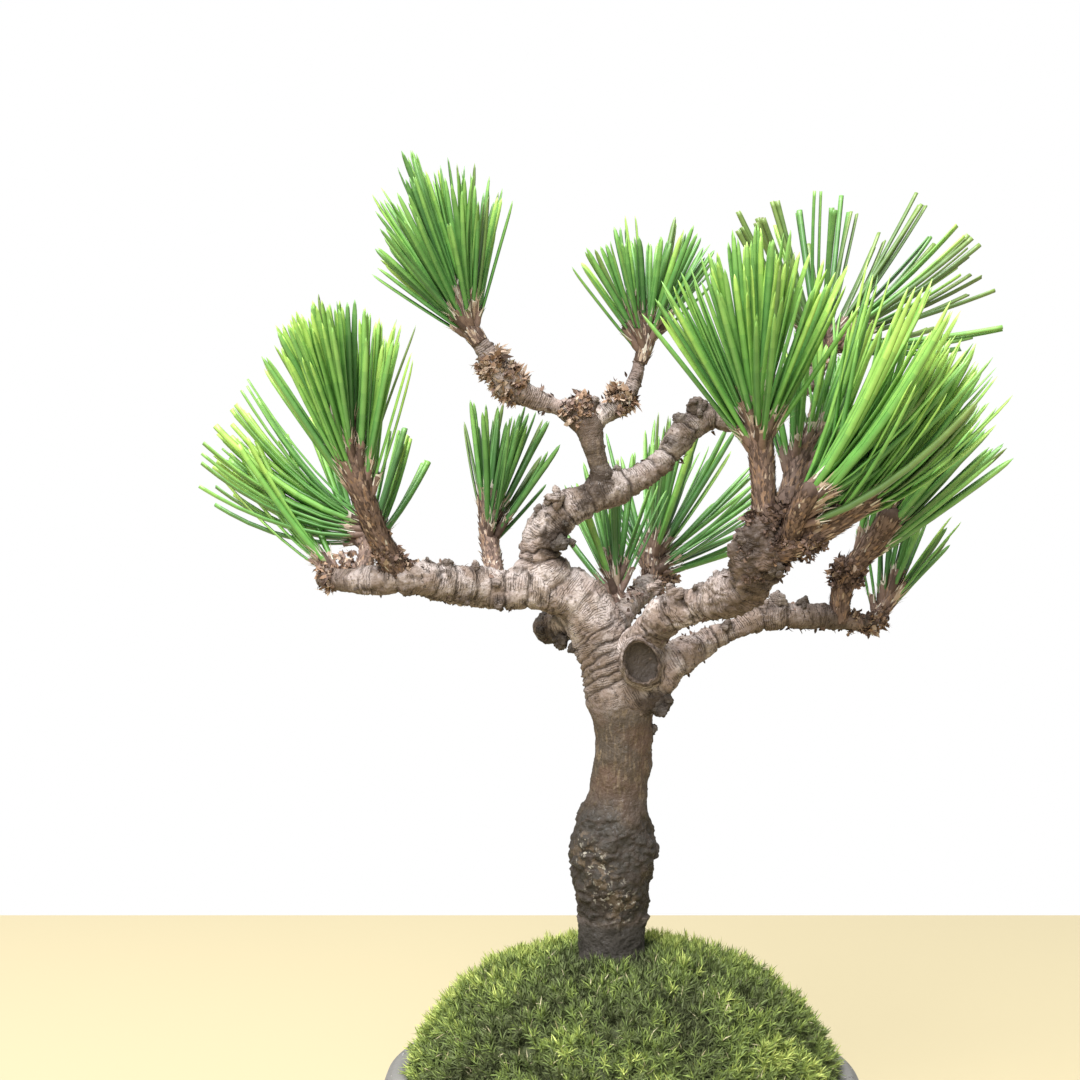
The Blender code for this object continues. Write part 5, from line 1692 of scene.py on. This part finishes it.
@dataclass
class Pot:
    """The round bowl, turned from its outline, with three drain holes in its foot."""

    height: float = 55.5
    rim_radius: float = 41.5
    belly_radius: float = 46.5
    belly_height: float = 33.0
    foot_radius: float = 28.0
    foot_height: float = 3.0
    shoulder_radius: float = 30.0
    wall: float = 3.2
    floor: float = 6.0
    rounding: float = 1.2
    segments: int = 224
    drain_radius: float = 3.2
    drain_circle: float = 15.0

    def outer(self, z: Array) -> Array:
        """The outer radius: one half ellipse above the belly and another below it."""
        rim, shoulder = (radius / self.belly_radius for radius in (self.rim_radius, self.shoulder_radius))
        above = (self.height - self.belly_height) / math.sqrt(1 - rim**2)
        below = (self.belly_height - self.foot_height) / math.sqrt(1 - shoulder**2)
        reach = np.where(z >= self.belly_height, above, below)
        return self.belly_radius * np.sqrt(1 - ((z - self.belly_height) / reach) ** 2)

    def outline(self) -> Array:
        """Rows of (radius, height) from the underside's middle, round the rim, to the floor's middle."""
        top, half, edge, low = self.height - self.rounding, self.wall / 2, self.foot_radius, self.foot_height
        climb = np.linspace(low + 0.5, top, 60)
        wall = np.stack([self.outer(climb), climb], axis=1)
        turn = np.linspace(0.15, math.pi - 0.15, 12)
        middle = self.rim_radius - half
        lip = np.stack([middle + half * np.cos(turn), top + self.rounding * np.sin(turn)], axis=1)
        drop = np.linspace(top, self.floor + 2.0, 24)
        inside = np.stack([self.outer(drop) - self.wall, drop], axis=1)
        foot = [(4.0, 0.0), (20.0, 0.0), (edge - 1.0, 0.0), (edge - 0.3, 0.3), (edge, 1.0), (edge, low - 0.4),
                (edge + 0.6, low)]
        corner = self.outer(np.array(self.floor)) - self.wall - 1.0
        base = [(radius, self.floor) for radius in (corner, 20.0, 4.0)]
        return np.vstack([[(0.02, 0.0)], foot, wall, lip, inside, base, [(0.02, self.floor)]])

    def build(self, finish: Material) -> None:
        """Makes the bowl, with faint turning rings on its wall, and cuts its drain holes."""
        rows = self.outline()
        angles = ring_angles(self.segments)[None, :]
        radius = np.repeat(rows[:, :1], self.segments, axis=1)
        level = np.repeat(rows[:, 1:], self.segments, axis=1)
        surface = np.stack([radius * np.cos(angles), radius * np.sin(angles), level], axis=-1)
        walled = (radius > self.foot_radius + 0.5) & (level > self.foot_height)
        ripple = 0.1 * noise(surface, (0.02, 0.02, 0.42), 3, 2) + 0.05 * noise(surface, 0.16, 4, 2)
        surface[..., :2] *= (1 + np.where(walled, ripple, 0.0) / np.maximum(radius, 1.0))[..., None]
        pot = tube_piece("bowl", surface, [finish])
        for index in range(3):
            angle = 2 * math.pi * (index + 0.25) / 3
            self.drain(pot, self.drain_circle * math.cos(angle), self.drain_circle * math.sin(angle))
        place(pot, "grey_stoneware", "pot")

    def drain(self, pot: Piece, x: float, y: float) -> None:
        """Cuts one drain hole: a round bar is taken out of the floor."""
        sides = 48
        turn = ring_angles(sides)
        ring = np.stack([x + self.drain_radius * np.cos(turn), y + self.drain_radius * np.sin(turn)], axis=1)
        bar = np.stack([np.column_stack([ring, np.full(sides, z)]) for z in (-3.0, self.floor + 3.0)])
        cutter = tube_piece("drain", bar, [])
        cut = pot.modifiers.new("drain", "BOOLEAN")
        cut.operation, cut.solver, cut.object = "DIFFERENCE", "EXACT", cutter
        bpy.context.view_layer.update()
        whole = bpy.data.meshes.new_from_object(pot.evaluated_get(bpy.context.evaluated_depsgraph_get()))
        pot.modifiers.clear()
        pot.data = whole
        bpy.data.objects.remove(cutter)


@dataclass
class MossCushion:
    """The mound of moss: a dark cushion under thousands of small leafy shoots."""

    radius: float = 38.0
    low: float = 54.5
    top: float = 75.5
    flatness: float = 3.0
    fullness: float = 1.4
    hole: float = 6.4
    sunk: float = 1.3
    shoots: int = 6000
    leaves: int = 24
    tufts: int = 190
    tuft_radius: float = 3.5
    strands: int = 130

    def mound(self, radius: Array) -> Array:
        """The mound's height: low + (top - low) * (1 - (r / edge)^flatness)^(1 / fullness)."""
        share = np.clip(radius / self.radius, 0.0, 1.0)
        return self.low + (self.top - self.low) * (1 - share**self.flatness) ** (1 / self.fullness)

    def normal(self, x: Array, y: Array) -> Array:
        """The direction out of the mound, from its slope."""
        radius = np.hypot(x, y)
        inner = np.minimum(radius, self.radius * 0.985)
        slope = (self.mound(inner + 0.05) - self.mound(inner - 0.05)) / 0.1
        out = np.stack([x, y, np.zeros_like(x)], axis=-1) / np.maximum(radius, 1e-6)[..., None]
        return unit(UP - out * slope[..., None])

    def build(self, finishes: list[Material]) -> None:
        """Makes the cushion's piece and the pieces of leafy shoots."""
        self.build_cushion(finishes)
        chance = np.random.default_rng(31)
        x, y = self.places(chance)
        thirds = np.array_split(np.arange(len(x)), 3)
        for label, rows in zip(("moss_shoots_a", "moss_shoots_b", "moss_shoots_c"), thirds):
            parts = MeshParts()
            self.add_shoots(parts, x[rows], y[rows], chance)
            place(parts.build(label, finishes), "moss")
        strands = MeshParts()
        self.add_strands(strands, chance)
        place(strands.build("moss_strands", finishes), "moss")

    def build_cushion(self, finishes: list[Material]) -> None:
        """Makes the closed cushion: a lumpy dome over a flat underside."""
        sides = 180
        shares = np.sin(np.linspace(0, math.pi / 2, 60))[1:]
        radii = np.concatenate([[0.02], self.radius * shares * 0.995])
        angles = ring_angles(sides)[None, :]
        x, y = radii[:, None] * np.cos(angles), radii[:, None] * np.sin(angles)
        z = np.repeat(self.mound(radii)[:, None], sides, axis=1)
        dome = np.stack([x, y, z], axis=-1)
        lumps = 0.7 * noise(dome, 0.16, 3, 3) + 0.25 * noise(dome, 0.8, 4)
        sink = self.sunk * smooth_step(self.radius - radii, 0.0, 4.0)[:, None]
        dome = dome + self.normal(x, y) * (lumps * 0.6 - sink)[..., None]
        rim = np.stack([x[-1], y[-1], np.full(sides, 52.2)], axis=-1)
        centre = rim * np.array((0.001, 0.001, 1.0))
        surface = np.concatenate([[centre], [rim], dome[::-1]])
        place(tube_piece("moss_cushion", surface, finishes, Moss.SHADE), "moss", "moss")

    def ground(self, x: Array, y: Array) -> Array:
        """Points on the mound."""
        return np.stack([x, y, self.mound(np.hypot(x, y))], axis=-1)

    def spread_out(self, count: int, edge: float) -> tuple[Array, Array]:
        """Radii and turns of places that lie evenly over the mound's area, at the golden angle."""
        radii = np.linspace(0.0, edge, 900)
        slant = np.gradient(self.mound(radii), radii)
        area = np.cumsum(radii * np.sqrt(1 + np.minimum(slant**2, 30.0)))
        index = np.arange(count)
        return np.interp((index + 0.5) / count * area[-1], area, radii), index * GOLDEN_ANGLE

    def clear(self, radius: Array, turn: Array, gap: float) -> tuple[Array, Array]:
        """The x and y of places, without those that are too near the trunk."""
        x, y = radius * np.cos(turn), radius * np.sin(turn)
        free = np.hypot(x - FOOT[0], y - FOOT[1]) > self.hole + gap
        return x[free], y[free]

    def places(self, chance: Chance) -> tuple[Array, Array]:
        """Where the shoots stand: evenly over the mound with a little wander, clear of the trunk."""
        edge = self.radius * 0.995
        radius, turn = self.spread_out(self.shoots, edge)
        radius = radius + chance.normal(0, 0.35, self.shoots)
        return self.clear(np.clip(radius, 0.0, edge), turn + chance.normal(0, 0.02, self.shoots), 0.2)

    def tuft_middles(self, chance: Chance) -> Array:
        """The middles of the tufts: evenly over the mound, with some wander."""
        radius, turn = self.spread_out(self.tufts, self.radius)
        middles = self.ground(radius * np.cos(turn), radius * np.sin(turn))
        return middles + 0.8 * chance.normal(size=middles.shape)

    def add_shoots(self, parts: MeshParts, x: Array, y: Array, chance: Chance) -> None:
        """Adds a leafy shoot at each place: narrow leaves that climb it at the golden angle.

        The lowest leaves lean out most. The shoots stand in tufts like stars: each leans away from its tuft's
        middle, and the tufts are lower at their borders and darker there by painted shade. Some lower leaves
        are one tone darker, as painted shade, and some upper ones one tone lighter.
        """
        count, many = len(x), len(x) * self.leaves
        normal, ground = self.normal(x, y), self.ground(x, y)
        middles = self.tuft_middles(np.random.default_rng(32))
        apart = np.linalg.norm(ground[:, None] - middles[None], axis=-1)
        nearest = apart.argmin(axis=1)
        share = np.clip(apart.min(axis=1) / self.tuft_radius, 0.0, 1.2)
        away = unit(ground - middles[nearest]) * share[:, None]
        heading = unit(0.85 * normal + 0.45 * UP + 0.6 * away + 0.24 * chance.normal(size=(count, 3)))
        border = smooth_step(share, 0.4, 1.1)
        base = ground - normal * (self.sunk + 1.3 * border)[:, None]
        patch = self.patch(x, y, ground, share, nearest, chance)
        tall = 2.0 + 0.9 * chance.random(count) + 0.5 * noise(ground, 0.2, 75) - 0.5 * border
        first = across_of(heading)
        second = np.cross(first, heading)
        fraction = (np.arange(self.leaves) + 0.5) / self.leaves
        turn = np.arange(self.leaves)[None] * GOLDEN_ANGLE + chance.uniform(0, 6.28, (count, 1))
        lean = np.radians(84 - 68 * fraction)[None] + chance.normal(0, 0.16, (count, self.leaves))
        out = around(turn, first[:, None], second[:, None])
        pointing = around(lean, heading[:, None], out)
        roots = base[:, None] + heading[:, None] * (tall[:, None] * fraction[None])[..., None]
        faces = square_to(pointing, heading[:, None], 1e-6)
        lengths, widths = chance.uniform(1.2, 2.1, many), chance.uniform(0.13, 0.25, many)
        curls = chance.uniform(-0.45, 0.2, many)
        tone = np.searchsorted(np.array((-0.55, -0.02, 0.5, 1.25)), patch)
        upper = np.tile(fraction > 0.62, count) & (chance.random(many) < 0.45)
        below = np.tile(fraction < 0.3, count) & (chance.random(many) < 0.45)
        # The leaves' tones: the shoot's tone, one lighter for some upper leaves, and one darker for some
        # lower leaves as painted shade.
        young = np.clip(np.repeat(tone, self.leaves) + upper - below.astype(int), Moss.SHADE, Moss.SUN)
        slots = np.where(chance.random(many) < 0.01, Moss.STRAW, young)
        roots, pointing, faces = (values.reshape(many, 3) for values in (roots, pointing, faces))
        parts.add_leaves(roots, pointing, faces, lengths, widths, curls, (0.8, 1.0), slots)

    def patch(self, x: Array, y: Array, ground: Array, share: Array, tuft: Array, chance: Chance) -> Array:
        """How light each shoot is: tone that differs at random, with painted light on the far side, the right
        and the rim, and painted shade round the trunk, at the front left and at the tufts' borders.

        Args:
            x: the shoots' places across.
            y: the shoots' places in depth.
            ground: their points on the mound.
            share: how far each is from its tuft's middle, as a share of the tuft's radius.
            tuft: the number of each one's tuft.
            chance: the source of random numbers.

        Returns:
            One level for each shoot.
        """
        tuft_tone = np.random.default_rng(33).normal(size=self.tufts)[tuft]
        level = noise(ground, 0.09, 70, 2) + 0.24 * tuft_tone + 0.26 * chance.normal(size=len(x))
        # Painted light towards the rim, on the right and on the far side; painted shade at the tufts'
        # borders, at the front left and round the trunk's foot.
        level = level + 0.36 * smooth_step(np.hypot(x, y), 24.0, 35.0) + 0.12 * smooth_step(x, 0.0, 26.0)
        level = level + 1.25 * smooth_step(y + 7 * noise(ground, 0.06, 76), -18.0, 14.0)
        level = level - 0.6 * smooth_step(share, 0.4, 0.95) - 0.1
        level = level - 0.45 * smooth_step(-x, 4.0, 26.0) * smooth_step(-y, 0.0, 20.0)
        return level - 0.95 * smooth_step(np.hypot(x - FOOT[0], y), 14.0, 7.0)

    def add_strands(self, parts: MeshParts, chance: Chance) -> None:
        """Adds a few pale dry strands and tiny fallen bits on the moss."""
        radius = self.radius * 0.97 * np.sqrt(chance.uniform(0.05, 1.0, self.strands))
        x, y = self.clear(radius, chance.uniform(0, 2 * math.pi, self.strands), 1.0)
        count = len(x)
        heading = unit(0.8 * self.normal(x, y) + 0.8 * chance.normal(size=(count, 3)))
        faces = unit(np.cross(heading, chance.normal(size=(count, 3))))
        parts.add_leaves(
            self.ground(x, y), heading, faces, chance.uniform(1.8, 3.4, count),
            chance.uniform(0.1, 0.2, count), chance.uniform(-0.5, 0.5, count), (1.0, 0.9, 0.8),
            np.where(chance.random(count) < 0.75, Moss.STRAW, Moss.LIME),
        )


# Studio


@dataclass(frozen=True)
class StudioLight:
    """A round soft light aimed at the middle of the tree: place and size in millimetres, power in watts."""

    name: str
    place: Point
    size: float
    power: float


@dataclass
class Studio:
    """A plain pale floor, a white surround, soft light and the photograph's camera."""

    eye: Point = (-14.7, -290.0, 150.0)
    lens: float = 53.7
    floor_back: float = 354.0
    floor_front: float = -700.0
    floor_half: float = 900.0
    floor_colour: Colour = (0.445, 0.385, 0.242)
    surround: float = 0.56
    aim: Point = (0.0, 0.0, 130.0)
    lights: tuple[StudioLight, ...] = (
        StudioLight("key", (-300.0, -250.0, 1400.0), 800.0, 34.0),
        StudioLight("front", (-350.0, -1100.0, 1000.0), 700.0, 25.0),
    )

    def build(self) -> None:
        """Makes the floor, the lights, the surround and the camera."""
        self.build_floor()
        self.build_lights()
        self.build_surround()
        camera = bpy.data.cameras.new("camera")
        camera.lens, camera.sensor_width = self.lens, 36.0
        camera.clip_start, camera.clip_end = 0.01, 10.0
        obj = bpy.data.objects.new("camera", camera)
        obj.location = [c * MM for c in self.eye]
        obj.rotation_euler = (math.pi / 2, 0.0, 0.0)
        bpy.context.scene.collection.objects.link(obj)
        bpy.context.scene.camera = obj

    def build_floor(self) -> None:
        """Makes the floor: a thin slab whose top is the level that the pot stands on."""
        half, front, back, depth = self.floor_half, self.floor_front, self.floor_back, 12.0
        corners = np.array([(-half, front), (half, front), (half, back), (-half, back)])
        slab = np.stack([np.column_stack([corners, np.full(4, z)]) for z in (-depth, 0.0)])
        made, _, surface = new_material("pale_floor", 0.6, 0.2)
        surface.inputs["Base Color"].default_value = (*self.floor_colour, 1.0)
        floor = tube_piece("floor", slab, [made])
        floor.data.polygons.foreach_set("use_smooth", np.zeros(6, bool))

    def build_lights(self) -> None:
        """Adds the soft lights, one high above and one in front."""
        for plan in self.lights:
            light = bpy.data.lights.new(plan.name, "AREA")
            light.shape, light.size, light.energy = "DISK", plan.size * MM, plan.power
            obj = bpy.data.objects.new(plan.name, light)
            aim = unit(np.array(self.aim) - np.array(plan.place))
            obj.location = [c * MM for c in plan.place]
            obj.rotation_euler = (math.acos(-aim[2]), 0.0, math.atan2(aim[1], aim[0]) - math.pi / 2)
            bpy.context.scene.collection.objects.link(obj)

    def build_surround(self) -> None:
        """Makes the surround: white to look at, and somewhat dimmer as a light."""
        scene = bpy.context.scene
        scene.view_settings.view_transform = "Standard"
        world = bpy.data.worlds.new("studio")
        scene.world = world
        world.use_nodes = True
        shader = Shader(world.node_tree)
        plain = world.node_tree.nodes["Background"]
        plain.inputs["Color"].default_value = (1.0, 1.0, 1.0, 1.0)
        plain.inputs["Strength"].default_value = self.surround
        seen = shader.add("ShaderNodeBackground", {"Color": (1.0, 1.0, 1.0, 1.0), "Strength": 1.0})
        path = shader.add("ShaderNodeLightPath")
        mixed = shader.add("ShaderNodeMixShader", {0: path.outputs["Is Camera Ray"], 1: plain.outputs[0],
                                                   2: seen.outputs[0]})
        shader.tree.links.new(mixed.outputs[0], world.node_tree.nodes["World Output"].inputs["Surface"])


def main() -> None:
    """Builds the tree, the moss, the pot and the studio, and reports each piece."""
    logging.basicConfig(level=logging.INFO, format="%(message)s")
    bark = BarkFinish().build()
    needles = [finish.build() for finish in needle_finishes()]
    scales = [finish.build() for finish in SCALE_FINISHES]
    greens = [finish.build() for finish in MOSS_FINISHES]
    Wood().build(bark)
    Knobs().build(bark)
    Scar().build(bark)
    Brushes().build(needles, scales)
    Frills().build(scales)
    MossCushion().build(greens)
    Pot().build(ClayFinish().build())
    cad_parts["root_ball"].data.materials.clear()
    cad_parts["root_ball"].data.materials.append(SoilFinish().build())
    Studio().build()


if __name__ == "__main__":
    main()
